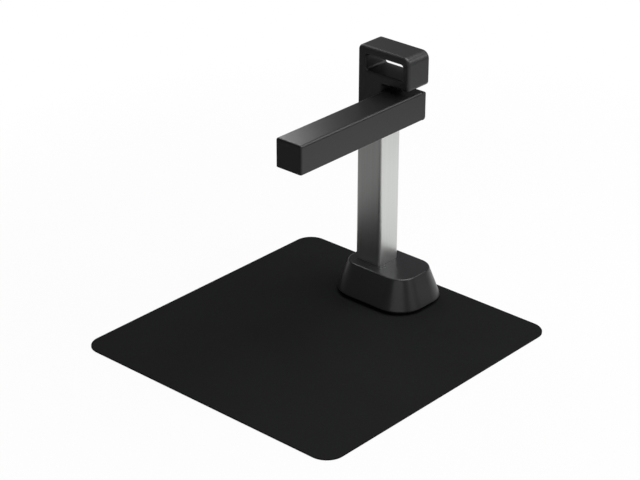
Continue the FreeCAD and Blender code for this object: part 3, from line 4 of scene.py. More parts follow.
import bmesh
import bpy
from mathutils import Matrix, Vector


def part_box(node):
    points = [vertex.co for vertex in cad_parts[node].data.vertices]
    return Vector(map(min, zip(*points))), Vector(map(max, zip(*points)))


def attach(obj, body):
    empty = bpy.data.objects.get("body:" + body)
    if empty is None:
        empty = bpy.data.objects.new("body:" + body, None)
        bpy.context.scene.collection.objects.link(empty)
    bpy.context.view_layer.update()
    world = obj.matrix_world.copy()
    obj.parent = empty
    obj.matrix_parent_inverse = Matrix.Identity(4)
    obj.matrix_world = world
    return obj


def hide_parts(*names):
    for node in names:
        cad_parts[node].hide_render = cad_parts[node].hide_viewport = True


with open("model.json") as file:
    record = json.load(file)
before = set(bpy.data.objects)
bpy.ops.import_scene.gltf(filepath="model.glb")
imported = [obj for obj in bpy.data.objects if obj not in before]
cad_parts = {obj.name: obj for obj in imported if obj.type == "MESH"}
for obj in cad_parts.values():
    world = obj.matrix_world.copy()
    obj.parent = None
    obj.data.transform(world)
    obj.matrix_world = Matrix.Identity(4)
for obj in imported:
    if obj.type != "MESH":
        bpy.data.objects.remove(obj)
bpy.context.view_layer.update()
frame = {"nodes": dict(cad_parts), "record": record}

scene = bpy.context.scene
scene.view_settings.view_transform = "Standard"


# Viewpoint
# A long lens from above the reader's right shoulder, as the object was photographed: it looks
# down at 26 degrees and sees the front, the arm's side and every top face.
CAMERA_PLACE = (1.5740, -1.9079, 1.3111)
CAMERA_YAW = math.radians(41.67)
CAMERA_PITCH = math.radians(26.46)
CAMERA_ROLL = math.radians(0.19)
CAMERA_LENS = 115.9
SENSOR_WIDTH = 36.0
VIEW_LIMIT = 100.0

ahead = Vector((-math.sin(CAMERA_YAW) * math.cos(CAMERA_PITCH),
                math.cos(CAMERA_YAW) * math.cos(CAMERA_PITCH), -math.sin(CAMERA_PITCH)))
level = Vector((math.cos(CAMERA_YAW), math.sin(CAMERA_YAW), 0))
above = level.cross(ahead)
side = level * math.cos(CAMERA_ROLL) + above * math.sin(CAMERA_ROLL)
top = above * math.cos(CAMERA_ROLL) - level * math.sin(CAMERA_ROLL)
turn = Matrix((side, top, -ahead)).transposed().to_4x4()
camera_data = bpy.data.cameras.new("camera")
camera_data.lens = CAMERA_LENS
camera_data.sensor_width = SENSOR_WIDTH
camera_data.clip_end = VIEW_LIMIT
camera = bpy.data.objects.new("camera", camera_data)
camera.matrix_world = Matrix.Translation(CAMERA_PLACE) @ turn
scene.collection.objects.link(camera)
scene.camera = camera


# Studio
# A white sweep that keeps a faint shadow under an even sky. What gloss and metal mirror of the
# sweep is bright behind the object and dim towards the reader, as in a room lit by windows.
FLOOR_SIZE = 14.0
FLOOR_DROP = 0.0004
FLOOR_COLOUR = "f2f2f2"
BRIGHT_SIDE = (0.55, 0.835, 0.0)
SKY_SIDE = (0.25, 0.86, 0.445)


def linear(code):
    """An sRGB hex colour as the linear RGBA that a shader takes."""
    parts = [int(code[i:i + 2], 16) / 255 for i in (0, 2, 4)]
    return [p / 12.92 if p <= 0.04045 else ((p + 0.055) / 1.055) ** 2.4 for p in parts] + [1.0]


def add(tree, kind, sockets=None, **settings):
    """Adds one node. Settings are its properties; sockets gives each input a value or a feeding output."""
    made = tree.nodes.new(kind)
    for name, value in settings.items():
        setattr(made, name, value)
    for key, value in (sockets or {}).items():
        if isinstance(value, bpy.types.NodeSocket):
            tree.links.new(value, made.inputs[key])
        else:
            made.inputs[key].default_value = value
    return made


def new_material(name):
    """An empty node material and its tree."""
    made = bpy.data.materials.new(name)
    made.use_nodes = True
    made.node_tree.nodes.clear()
    return made, made.node_tree


sweep_mesh = bpy.data.meshes.new("sweep")
half = FLOOR_SIZE / 2
sweep_mesh.from_pydata(
    [(x * half, y * half, -FLOOR_DROP) for x, y in ((-1, -1), (1, -1), (1, 1), (-1, 1))], [], [(0, 1, 2, 3)])
sweep = bpy.data.objects.new("sweep", sweep_mesh)
scene.collection.objects.link(sweep)

paper, tree = new_material("white_sweep_paper")
place = add(tree, "ShaderNodeTexCoord")
path = add(tree, "ShaderNodeLightPath")
toward_back = add(tree, "ShaderNodeVectorMath", {0: place.outputs["Object"], 1: BRIGHT_SIDE},
                  operation="DOT_PRODUCT")
near_level = add(tree, "ShaderNodeMapRange", {
    "Value": toward_back.outputs["Value"], "From Min": -0.6, "From Max": 0.45, "To Min": 0.18,
    "To Max": 0.93}, interpolation_type="SMOOTHSTEP")
far_level = add(tree, "ShaderNodeMapRange", {
    "Value": toward_back.outputs["Value"], "From Min": 0.45, "From Max": 0.9, "To Min": 1.0,
    "To Max": 0.5}, interpolation_type="SMOOTHSTEP")
sheen_level = add(tree, "ShaderNodeMath", {0: near_level.outputs["Result"], 1: far_level.outputs["Result"]},
                  operation="MULTIPLY")
mirrored = add(tree, "ShaderNodeEmission", {"Color": (1, 1, 1, 1), "Strength": sheen_level.outputs[0]})
lit = add(tree, "ShaderNodeBsdfDiffuse", {"Color": linear(FLOOR_COLOUR)})
white = add(tree, "ShaderNodeEmission", {"Color": (1, 1, 1, 1), "Strength": 1.0})
reach = add(tree, "ShaderNodeVectorMath", {0: place.outputs["Object"]}, operation="LENGTH")
bare = add(tree, "ShaderNodeMapRange", {
    "Value": reach.outputs["Value"], "From Min": 0.25, "From Max": 0.9, "To Min": 0.9, "To Max": 1.0})
seen_white = add(tree, "ShaderNodeMixShader", {
    0: bare.outputs["Result"], 1: lit.outputs[0], 2: white.outputs[0]})
to_camera = add(tree, "ShaderNodeMixShader", {
    0: path.outputs["Is Camera Ray"], 1: lit.outputs[0], 2: seen_white.outputs[0]})
through = add(tree, "ShaderNodeMath", {
    0: path.outputs["Is Glossy Ray"], 1: path.outputs["Is Transmission Ray"]}, operation="MAXIMUM")
to_gloss = add(tree, "ShaderNodeMixShader", {
    0: through.outputs[0], 1: to_camera.outputs[0], 2: mirrored.outputs[0]})
add(tree, "ShaderNodeOutputMaterial", {"Surface": to_gloss.outputs[0]})
sweep_mesh.materials.append(paper)

world = bpy.data.worlds.new("studio")
world.use_nodes = True
tree = world.node_tree
tree.nodes.clear()
heading = add(tree, "ShaderNodeTexCoord")
path = add(tree, "ShaderNodeLightPath")
brighter_way = add(tree, "ShaderNodeVectorMath", {0: heading.outputs["Generated"], 1: SKY_SIDE},
                   operation="DOT_PRODUCT")
sky_level = add(tree, "ShaderNodeMapRange", {
    "Value": brighter_way.outputs["Value"], "From Min": -0.5, "From Max": 0.6, "To Min": 0.12,
    "To Max": 0.13}, interpolation_type="SMOOTHSTEP")
room = add(tree, "ShaderNodeBackground", {"Color": (1, 1, 1, 1), "Strength": sky_level.outputs["Result"]})
plain = add(tree, "ShaderNodeBackground", {"Color": (1, 1, 1, 1), "Strength": 1.0})
shown = add(tree, "ShaderNodeMixShader", {
    0: path.outputs["Is Camera Ray"], 1: room.outputs[0], 2: plain.outputs[0]})
add(tree, "ShaderNodeOutputWorld", {"Surface": shown.outputs[0]})
scene.world = world

# Each lamp: its place, its width and height in metres and its power in watts. All face the target.
LAMP_TARGET = Vector((0, 0, 0.3))
LAMPS = (
    ("key", (0.4, 0.3, 1.8), (1.4, 1.2), 26.0),
    ("right", (1.8, 0.3, 0.9), (1.0, 1.0), 4.0),
    ("back_left", (-0.4, 0.1, 0.6), (0.26, 0.2), 0.7),
    ("back_right", (0.77, 0.73, 0.88), (0.45, 0.45), 2.2),
    ("front_right", (0.73, -1.12, 0.4), (1.3, 0.4), 1.4),
)
for name, spot, size, power in LAMPS:
    lamp_data = bpy.data.lights.new(name, "AREA")
    lamp_data.shape = "RECTANGLE"
    lamp_data.size, lamp_data.size_y = size
    lamp_data.energy = power
    lamp = bpy.data.objects.new(name, lamp_data)
    aim = (LAMP_TARGET - Vector(spot)).to_track_quat("-Z", "Y").to_matrix().to_4x4()
    lamp.matrix_world = Matrix.Translation(spot) @ aim
    scene.collection.objects.link(lamp)


# Scanning mat
# A 2 mm sheet of black rubber, calendered with a fine pebble so that pages don't slide, cut with
# large round corners. The base stands on four pads of the same rubber.
def dress(material, *names):
    """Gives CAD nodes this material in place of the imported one."""
    for name in names:
        mesh = frame["nodes"][name].data
        mesh.materials.clear()
        mesh.materials.append(material)


# Calendered rubber: nearly black, no clear highlight, and a pebble of about 1.9 mm, coarser than a
# real mat's so that it shows.
rubber, tree = new_material("calendered_rubber")
place = add(tree, "ShaderNodeTexCoord")
pebble = add(tree, "ShaderNodeTexVoronoi", {"Vector": place.outputs["Object"], "Scale": 520.0},
             feature="SMOOTH_F1")
cloud = add(tree, "ShaderNodeTexNoise", {"Vector": place.outputs["Object"], "Scale": 7.0, "Detail": 3.0})
tint = add(tree, "ShaderNodeMix", {
    "Factor": cloud.outputs["Fac"], 6: linear("131314"), 7: linear("191a1b")}, data_type="RGBA")
relief = add(tree, "ShaderNodeBump", {
    "Height": pebble.outputs["Distance"], "Strength": 0.35, "Distance": 0.0004})
skin = add(tree, "ShaderNodeBsdfPrincipled", {
    "Base Color": tint.outputs[2], "Roughness": 0.78, "IOR": 1.5, "Specular IOR Level": 0.12,
    "Normal": relief.outputs[0]})
add(tree, "ShaderNodeOutputMaterial", {"Surface": skin.outputs[0]})
dress(rubber, "mat", "foot_pads")


# Base plate
# The floor of the base, moulded in matt black glass-filled nylon and screwed up into the housing.
# The switch, the barrel socket's body and the lens holder are moulded in the same nylon.
# Moulded nylon: dull, with a cloudy bloom of fibres near the surface.
nylon, tree = new_material("moulded_glass_filled_nylon")
place = add(tree, "ShaderNodeTexCoord")
bloom = add(tree, "ShaderNodeTexNoise", {"Vector": place.outputs["Object"], "Scale": 140.0, "Detail": 6.0})
tint = add(tree, "ShaderNodeMix", {
    "Factor": bloom.outputs["Fac"], 6: linear("151516"), 7: linear("232324")}, data_type="RGBA")
dull = add(tree, "ShaderNodeMapRange", {"Value": bloom.outputs["Fac"], "To Min": 0.5, "To Max": 0.68})
relief = add(tree, "ShaderNodeBump", {"Height": bloom.outputs["Fac"], "Strength": 0.3, "Distance": 0.0001})
skin = add(tree, "ShaderNodeBsdfPrincipled", {
    "Base Color": tint.outputs[2], "Roughness": dull.outputs["Result"], "IOR": 1.53,
    "Normal": relief.outputs[0]})
add(tree, "ShaderNodeOutputMaterial", {"Surface": skin.outputs[0]})
dress(nylon, "base_plate", "power_switch", "lens_holder")


# Base housing
# Injection-moulded ABS with a polished tool, black right through, so it mirrors the column
# softly on its top. Its front stays bare.
# Polished ABS: deep black with a soft mirror image that the handling has hazed a little.
gloss_abs, tree = new_material("polished_abs")
place = add(tree, "ShaderNodeTexCoord")
flow = add(tree, "ShaderNodeTexNoise", {"Vector": place.outputs["Object"], "Scale": 26.0, "Detail": 4.0})
haze = add(tree, "ShaderNodeMapRange", {"Value": flow.outputs["Fac"], "To Min": 0.24, "To Max": 0.34})
ripple = add(tree, "ShaderNodeTexNoise", {"Vector": place.outputs["Object"], "Scale": 60.0, "Detail": 1.0})
relief = add(tree, "ShaderNodeBump", {"Height": ripple.outputs["Fac"], "Strength": 0.05, "Distance": 0.0006})
skin = add(tree, "ShaderNodeBsdfPrincipled", {
    "Base Color": linear("242426"), "Roughness": haze.outputs["Result"], "IOR": 1.53,
    "Normal": relief.outputs[0]})
add(tree, "ShaderNodeOutputMaterial", {"Surface": skin.outputs[0]})
dress(gloss_abs, "base_shell")


# Ballast
# A block of grey iron, sand cast and blackened, bolted to the plate so that the open arm doesn't
# tip the scanner.
# Cast iron: dark, grainy from the sand, with a brown cast where the blacking is thin.
iron, tree = new_material("blackened_cast_iron")
place = add(tree, "ShaderNodeTexCoord")
sand = add(tree, "ShaderNodeTexNoise", {"Vector": place.outputs["Object"], "Scale": 420.0, "Detail": 5.0})
patch = add(tree, "ShaderNodeTexNoise", {"Vector": place.outputs["Object"], "Scale": 45.0, "Detail": 3.0})
tint = add(tree, "ShaderNodeMix", {
    "Factor": patch.outputs["Fac"], 6: linear("3a3a3b"), 7: linear("57504a")}, data_type="RGBA")
relief = add(tree, "ShaderNodeBump", {"Height": sand.outputs["Fac"], "Strength": 0.7, "Distance": 0.0004})
skin = add(tree, "ShaderNodeBsdfPrincipled", {
    "Base Color": tint.outputs[2], "Metallic": 0.85, "Roughness": 0.62, "Normal": relief.outputs[0]})
add(tree, "ShaderNodeOutputMaterial", {"Surface": skin.outputs[0]})
dress(iron, "ballast_weight")


# Circuit boards
# Glass-epoxy boards under green solder mask: the main board in the base and the camera board in
# the arm.
# Solder mask: a wet green over lighter tracks 1.2 mm apart, with the main board's chip in black.
PAD_SHARE = 0.14
BOARD_THICKNESS = 0.0016
NO_CHIPS = 10.0


def board_material(name, mask, track, chips_above):
    """Solder mask over tracks, black above that height in metres; NO_CHIPS is above any board."""
    made, tree = new_material(name)
    place = add(tree, "ShaderNodeTexCoord")
    cells = add(tree, "ShaderNodeTexVoronoi", {"Vector": place.outputs["Object"], "Scale": 160.0},
                feature="F1", distance="CHEBYCHEV")
    runs = add(tree, "ShaderNodeTexBrick", {
        "Vector": place.outputs["Object"], "Scale": 1.0, "Mortar Size": 0.00016, "Brick Width": 0.0066,
        "Row Height": 0.0012, "Color1": (0, 0, 0, 1), "Color2": (0, 0, 0, 1), "Mortar": (1, 1, 1, 1)})
    pad = add(tree, "ShaderNodeMath", {0: cells.outputs["Distance"], 1: PAD_SHARE}, operation="LESS_THAN")
    copper = add(tree, "ShaderNodeMath", {0: runs.outputs["Color"], 1: pad.outputs[0]}, operation="MAXIMUM")
    green = add(tree, "ShaderNodeMix", {
        "Factor": copper.outputs[0], 6: linear(mask), 7: linear(track)}, data_type="RGBA")
    height = add(tree, "ShaderNodeSeparateXYZ", {0: place.outputs["Object"]})
    chip = add(tree, "ShaderNodeMath", {0: height.outputs["Z"], 1: chips_above}, operation="GREATER_THAN")
    colour = add(tree, "ShaderNodeMix", {
        "Factor": chip.outputs[0], 6: green.outputs[2], 7: linear("1c1c1e")}, data_type="RGBA")
    relief = add(tree, "ShaderNodeBump", {"Height": copper.outputs[0], "Strength": 0.4, "Distance": 0.00004})
    skin = add(tree, "ShaderNodeBsdfPrincipled", {
        "Base Color": colour.outputs[2], "Roughness": 0.34, "IOR": 1.52, "Normal": relief.outputs[0]})
    add(tree, "ShaderNodeOutputMaterial", {"Surface": skin.outputs[0]})
    return made


main_board_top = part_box("main_board")[0].z + BOARD_THICKNESS
dress(board_material("green_solder_mask_main", "0f5a36", "2f7d4d", main_board_top), "main_board")
dress(board_material("green_solder_mask_camera", "0f5a36", "2f7d4d", NO_CHIPS), "camera_board")


# USB socket
# A USB-C socket: a shell drawn from sheet steel and nickel plated, round a black tongue that
# carries twelve gilt contacts on each face.
# Nickel plate: a warm pale metal, polished by the drawing die. The tongue, told by its place, is a
# dull black moulding.
usb_low, usb_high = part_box("usb_socket")
usb_centre = (usb_low + usb_high) / 2
TONGUE_HALF = (0.0034, 0.00045)

nickel, tree = new_material("nickel_plated_steel")
place = add(tree, "ShaderNodeTexCoord")
offset = add(tree, "ShaderNodeVectorMath", {0: place.outputs["Object"], 1: usb_centre}, operation="SUBTRACT")
away = add(tree, "ShaderNodeVectorMath", {0: offset.outputs[0]}, operation="ABSOLUTE")
axes = add(tree, "ShaderNodeSeparateXYZ", {0: away.outputs[0]})
across = add(tree, "ShaderNodeMath", {0: axes.outputs["X"], 1: TONGUE_HALF[0]}, operation="LESS_THAN")
upright = add(tree, "ShaderNodeMath", {0: axes.outputs["Z"], 1: TONGUE_HALF[1]}, operation="LESS_THAN")
inside = add(tree, "ShaderNodeMath", {0: across.outputs[0], 1: upright.outputs[0]}, operation="MULTIPLY")
drawn = add(tree, "ShaderNodeTexNoise", {"Vector": place.outputs["Object"], "Scale": 900.0, "Detail": 2.0})
shine = add(tree, "ShaderNodeMapRange", {"Value": drawn.outputs["Fac"], "To Min": 0.2, "To Max": 0.34})
metal = add(tree, "ShaderNodeBsdfPrincipled", {
    "Base Color": linear("c9c4b8"), "Metallic": 1.0, "Roughness": shine.outputs["Result"]})
moulded = add(tree, "ShaderNodeBsdfPrincipled", {
    "Base Color": linear("161617"), "Roughness": 0.45, "IOR": 1.53})
both = add(tree, "ShaderNodeMixShader", {0: inside.outputs[0], 1: metal.outputs[0], 2: moulded.outputs[0]})
add(tree, "ShaderNodeOutputMaterial", {"Surface": both.outputs[0]})
dress(nickel, "usb_socket")

CONTACT_COUNT = 12
CONTACT_PITCH = 0.0005
CONTACT_SIZE = (0.00028, 0.0042, 0.00004)
CONTACT_FRONT = 0.0016
TONGUE_THICKNESS = 0.0007
SMOOTH_BELOW = math.radians(35)

# Gold plate: a yellow flash on each contact, hardly marked by plugs.
gold, tree = new_material("gold_plate")
place = add(tree, "ShaderNodeTexCoord")
rub = add(tree, "ShaderNodeTexNoise", {"Vector": place.outputs["Object"], "Scale": 3000.0, "Detail": 2.0})
shine = add(tree, "ShaderNodeMapRange", {"Value": rub.outputs["Fac"], "To Min": 0.18, "To Max": 0.3})
skin = add(tree, "ShaderNodeBsdfPrincipled", {
    "Base Color": linear("d9b45a"), "Metallic": 1.0, "Roughness": shine.outputs["Result"]})
add(tree, "ShaderNodeOutputMaterial", {"Surface": skin.outputs[0]})


def new_tree(name, sockets):
    """An empty geometry tree with these named inputs (name: kind), its input node and its output node."""
    made = bpy.data.node_groups.new(name, "GeometryNodeTree")
    made.interface.new_socket("Geometry", in_out="INPUT", socket_type="NodeSocketGeometry")
    for key, kind in sockets.items():
        made.interface.new_socket(key, in_out="INPUT", socket_type=kind)
    made.interface.new_socket("Geometry", in_out="OUTPUT", socket_type="NodeSocketGeometry")
    return made, add(made, "NodeGroupInput"), add(made, "NodeGroupOutput")


def grow(name, tree, seats, sizes):
    """Runs a geometry tree on points at the seats and returns the result as one plain mesh object."""
    points = bpy.data.meshes.new(name)
    points.from_pydata([tuple(seat) for seat in seats], [], [])
    made = bpy.data.objects.new(name, points)
    scene.collection.objects.link(made)
    modifier = made.modifiers.new(name, "NODES")
    modifier.node_group = tree
    for item in tree.interface.items_tree:
        if item.in_out == "INPUT" and item.name in sizes:
            modifier[item.identifier] = sizes[item.name]
    bpy.context.view_layer.update()
    plain = bpy.data.meshes.new_from_object(made.evaluated_get(bpy.context.evaluated_depsgraph_get()))
    made.modifiers.clear()
    made.data = plain
    plain.polygons.foreach_set("use_smooth", [True] * len(plain.polygons))
    plain.set_sharp_from_angle(angle=SMOOTH_BELOW)
    return made


row_tree, given, result = new_tree("row_of_contacts", {
    "Count": "NodeSocketInt", "Pitch": "NodeSocketVector", "Size": "NodeSocketVector",
    "Finish": "NodeSocketMaterial"})
line = add(row_tree, "GeometryNodeMeshLine", {
    "Count": given.outputs["Count"], "Offset": given.outputs["Pitch"]}, mode="OFFSET")
strip = add(row_tree, "GeometryNodeMeshCube", {"Size": given.outputs["Size"]})
row = add(row_tree, "GeometryNodeInstanceOnPoints", {
    "Points": line.outputs[0], "Instance": strip.outputs["Mesh"]})
row_mesh = add(row_tree, "GeometryNodeRealizeInstances", {0: row.outputs[0]})
rows = add(row_tree, "GeometryNodeInstanceOnPoints", {
    "Points": given.outputs["Geometry"], "Instance": row_mesh.outputs[0]})
loose = add(row_tree, "GeometryNodeRealizeInstances", {0: rows.outputs[0]})
coated = add(row_tree, "GeometryNodeSetMaterial", {
    "Geometry": loose.outputs[0], "Material": given.outputs["Finish"]})
row_tree.links.new(coated.outputs[0], result.inputs[0])

first_x = usb_centre.x - CONTACT_PITCH * (CONTACT_COUNT - 1) / 2
contact_y = usb_high.y - CONTACT_FRONT - CONTACT_SIZE[1] / 2
contact_rise = TONGUE_THICKNESS / 2 + CONTACT_SIZE[2] / 2
contact_rows = [(first_x, contact_y, usb_centre.z + contact_rise),
                (first_x, contact_y, usb_centre.z - contact_rise)]
contacts = grow("usb_contacts", row_tree, contact_rows, {
    "Count": CONTACT_COUNT, "Pitch": (CONTACT_PITCH, 0.0, 0.0), "Size": CONTACT_SIZE, "Finish": gold})
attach(contacts, "stand")


# Power socket
# A barrel socket for a 5.5 mm plug, which opens at the back of the base: a moulded nylon body
# round a nickel-plated 2 mm pin.
# Moulded nylon: dull and black, with the pin's metal told by its distance from the socket's axis.
PIN_HALF = 0.00105
power_axis = next(m["pos_m"] for m in frame["record"]["mounts"] if m["name"] == "power_port")

barrel_nylon, tree = new_material("socket_nylon_and_pin")
place = add(tree, "ShaderNodeTexCoord")
offset = add(tree, "ShaderNodeVectorMath", {0: place.outputs["Object"], 1: power_axis}, operation="SUBTRACT")
flat = add(tree, "ShaderNodeVectorMath", {0: offset.outputs[0], 1: (1.0, 0.0, 1.0)}, operation="MULTIPLY")
reach = add(tree, "ShaderNodeVectorMath", {0: flat.outputs[0]}, operation="LENGTH")
is_pin = add(tree, "ShaderNodeMath", {0: reach.outputs["Value"], 1: PIN_HALF}, operation="LESS_THAN")
cloud = add(tree, "ShaderNodeTexNoise", {"Vector": place.outputs["Object"], "Scale": 600.0, "Detail": 3.0})
relief = add(tree, "ShaderNodeBump", {"Height": cloud.outputs["Fac"], "Strength": 0.2, "Distance": 0.00005})
moulded = add(tree, "ShaderNodeBsdfPrincipled", {
    "Base Color": linear("18181a"), "Roughness": 0.46, "IOR": 1.53, "Normal": relief.outputs[0]})
plated = add(tree, "ShaderNodeBsdfPrincipled", {
    "Base Color": linear("c9c4b8"), "Metallic": 1.0, "Roughness": 0.24})
both = add(tree, "ShaderNodeMixShader", {0: is_pin.outputs[0], 1: moulded.outputs[0], 2: plated.outputs[0]})
add(tree, "ShaderNodeOutputMaterial", {"Surface": both.outputs[0]})
dress(barrel_nylon, "power_socket")


# Power button
# A push button moulded in the housing's ABS, with the usual standby sign raised in its dish and
# painted pale grey. It slides in the housing and presses the switch.
SIGN_RADIUS = 0.0017
SIGN_LINE = 0.00016
SIGN_GAP = math.radians(34)
SIGN_BAR = (0.0007, 0.0023)
DISH_DEPTH = 0.0005
ARC_STEPS = 40
dress(gloss_abs, "power_button")

button_low, button_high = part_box("power_button")
button_centre = Vector(((button_low.x + button_high.x) / 2, button_high.y - DISH_DEPTH,
                        (button_low.z + button_high.z) / 2))
sign_curve = bpy.data.curves.new("standby_sign", "CURVE")
sign_curve.dimensions = "3D"
sign_curve.bevel_depth = SIGN_LINE
sign_curve.bevel_resolution = 2
sign_curve.use_fill_caps = True
arc = sign_curve.splines.new("POLY")
arc.points.add(ARC_STEPS)
for i, point in enumerate(arc.points):
    angle = SIGN_GAP + (math.tau - 2 * SIGN_GAP) * i / ARC_STEPS
    point.co = (*(button_centre + SIGN_RADIUS * Vector((math.sin(angle), 0, math.cos(angle)))), 1)
bar = sign_curve.splines.new("POLY")
bar.points.add(1)
for point, rise in zip(bar.points, SIGN_BAR):
    point.co = (*(button_centre + Vector((0, 0, rise))), 1)
drawn = bpy.data.objects.new("standby_sign_line", sign_curve)
scene.collection.objects.link(drawn)
bpy.context.view_layer.update()
sign_mesh = bpy.data.meshes.new_from_object(drawn.evaluated_get(bpy.context.evaluated_depsgraph_get()))
bpy.data.objects.remove(drawn)
sign = bpy.data.objects.new("standby_sign", sign_mesh)
scene.collection.objects.link(sign)

# Paint: pale grey and flat, a little uneven where it was wiped.
paint, tree = new_material("filled_grey_paint")
place = add(tree, "ShaderNodeTexCoord")
wiped = add(tree, "ShaderNodeTexNoise", {"Vector": place.outputs["Object"], "Scale": 1800.0, "Detail": 2.0})
tint = add(tree, "ShaderNodeMix", {
    "Factor": wiped.outputs["Fac"], 6: linear("a9abad"), 7: linear("c6c8ca")}, data_type="RGBA")
skin = add(tree, "ShaderNodeBsdfPrincipled", {"Base Color": tint.outputs[2], "Roughness": 0.55, "IOR": 1.5})
add(tree, "ShaderNodeOutputMaterial", {"Surface": skin.outputs[0]})
sign_mesh.materials.clear()
sign_mesh.materials.append(paint)
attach(sign, "power_button")


# Column
# Extruded aluminium tube, brushed lengthwise and clear anodised: bright where it faces the light
# and dark where it mirrors the mat.
# Brushed aluminium: silver, with streaks about 0.7 mm apart that run up the tube, and the faint
# lines that the extrusion die leaves, about 2.4 mm apart.
brushed, tree = new_material("brushed_anodised_aluminium")
place = add(tree, "ShaderNodeTexCoord")
stretch = add(tree, "ShaderNodeMapping", {"Vector": place.outputs["Object"], "Scale": (1500.0, 1500.0, 9.0)})
grain = add(tree, "ShaderNodeTexNoise", {"Vector": stretch.outputs[0], "Scale": 1.0, "Detail": 3.0})
drawn_out = add(tree, "ShaderNodeMapping", {"Vector": place.outputs["Object"], "Scale": (420.0, 420.0, 1.5)})
die_line = add(tree, "ShaderNodeTexNoise", {"Vector": drawn_out.outputs[0], "Scale": 1.0, "Detail": 1.0})
tint = add(tree, "ShaderNodeMix", {
    "Factor": die_line.outputs["Fac"], 6: linear("d7d9d6"), 7: linear("e6e8e5")}, data_type="RGBA")
shine = add(tree, "ShaderNodeMapRange", {"Value": grain.outputs["Fac"], "To Min": 0.26, "To Max": 0.42})
relief = add(tree, "ShaderNodeBump", {"Height": grain.outputs["Fac"], "Strength": 0.12, "Distance": 0.0001})
skin = add(tree, "ShaderNodeBsdfPrincipled", {
    "Base Color": tint.outputs[2], "Metallic": 1.0, "Roughness": shine.outputs["Result"],
    "Normal": relief.outputs[0]})
add(tree, "ShaderNodeOutputMaterial", {"Surface": skin.outputs[0]})
dress(brushed, "column_tube")


# Castings
# The column's foot, the bracket that carries the shaft and the arm's hub, pressure die cast in
# aluminium and left as cast inside the covers.
# Cast aluminium: mid grey, soft highlights, a frosted skin with flow marks.
cast, tree = new_material("die_cast_aluminium")
place = add(tree, "ShaderNodeTexCoord")
frost = add(tree, "ShaderNodeTexNoise", {"Vector": place.outputs["Object"], "Scale": 700.0, "Detail": 4.0})
flow = add(tree, "ShaderNodeTexNoise", {
    "Vector": place.outputs["Object"], "Scale": 50.0, "Detail": 2.0, "Distortion": 1.5})
tint = add(tree, "ShaderNodeMix", {
    "Factor": flow.outputs["Fac"], 6: linear("a3a4a6"), 7: linear("c2c3c5")}, data_type="RGBA")
shine = add(tree, "ShaderNodeMapRange", {"Value": flow.outputs["Fac"], "To Min": 0.42, "To Max": 0.58})
relief = add(tree, "ShaderNodeBump", {"Height": frost.outputs["Fac"], "Strength": 0.4, "Distance": 0.0001})
skin = add(tree, "ShaderNodeBsdfPrincipled", {
    "Base Color": tint.outputs[2], "Metallic": 1.0, "Roughness": shine.outputs["Result"],
    "Normal": relief.outputs[0]})
add(tree, "ShaderNodeOutputMaterial", {"Surface": skin.outputs[0]})
dress(cast, "column_foot", "hinge_bracket", "arm_hub")


# Head
# Two mouldings of fine-textured black ABS round the bracket, the rear one held by screws from
# behind, with the carrying window through the head.
# Textured ABS: satin black, its spark-eroded grain just breaks up the highlights.
satin_abs, tree = new_material("textured_abs")
place = add(tree, "ShaderNodeTexCoord")
spark = add(tree, "ShaderNodeTexNoise", {"Vector": place.outputs["Object"], "Scale": 1800.0, "Detail": 2.0})
relief = add(tree, "ShaderNodeBump", {"Height": spark.outputs["Fac"], "Strength": 0.25, "Distance": 0.0001})
skin = add(tree, "ShaderNodeBsdfPrincipled", {
    "Base Color": linear("202022"), "Roughness": 0.4, "IOR": 1.53, "Normal": relief.outputs[0]})
add(tree, "ShaderNodeOutputMaterial", {"Surface": skin.outputs[0]})
dress(satin_abs, "head_body", "head_rear_cover")


# Hinge
# A hollow ground steel shaft held in the bracket, with friction washers and a lock nut that set
# the friction which holds the arm at any angle.
# Ground steel: bright, with fine rings left by the wheel round the shaft, about 0.4 mm apart.
ground, tree = new_material("ground_steel")
place = add(tree, "ShaderNodeTexCoord")
squeeze = add(tree, "ShaderNodeMapping", {"Vector": place.outputs["Object"], "Scale": (2500.0, 30.0, 30.0)})
rings = add(tree, "ShaderNodeTexNoise", {"Vector": squeeze.outputs[0], "Scale": 1.0, "Detail": 2.0})
shine = add(tree, "ShaderNodeMapRange", {"Value": rings.outputs["Fac"], "To Min": 0.16, "To Max": 0.34})
relief = add(tree, "ShaderNodeBump", {"Height": rings.outputs["Fac"], "Strength": 0.15, "Distance": 0.00005})
skin = add(tree, "ShaderNodeBsdfPrincipled", {
    "Base Color": linear("b9bcc0"), "Metallic": 1.0, "Roughness": shine.outputs["Result"],
    "Normal": relief.outputs[0]})
add(tree, "ShaderNodeOutputMaterial", {"Surface": skin.outputs[0]})
dress(ground, "hinge_shaft", "hinge_washers", "hinge_nut")


# Arm
# A channel of extruded aluminium with black anodising, screwed to the cast hub that turns on the
# hinge's shaft.
# Black anodising: satin, a clear but soft reflection over a fine blasted grain.
black_anodised, tree = new_material("black_anodised_aluminium")
place = add(tree, "ShaderNodeTexCoord")
blast = add(tree, "ShaderNodeTexNoise", {"Vector": place.outputs["Object"], "Scale": 2200.0, "Detail": 2.0})
relief = add(tree, "ShaderNodeBump", {"Height": blast.outputs["Fac"], "Strength": 0.2, "Distance": 0.0001})
skin = add(tree, "ShaderNodeBsdfPrincipled", {
    "Base Color": linear("121213"), "Roughness": 0.33, "IOR": 1.55, "Normal": relief.outputs[0]})
add(tree, "ShaderNodeOutputMaterial", {"Surface": skin.outputs[0]})
dress(black_anodised, "arm_housing")


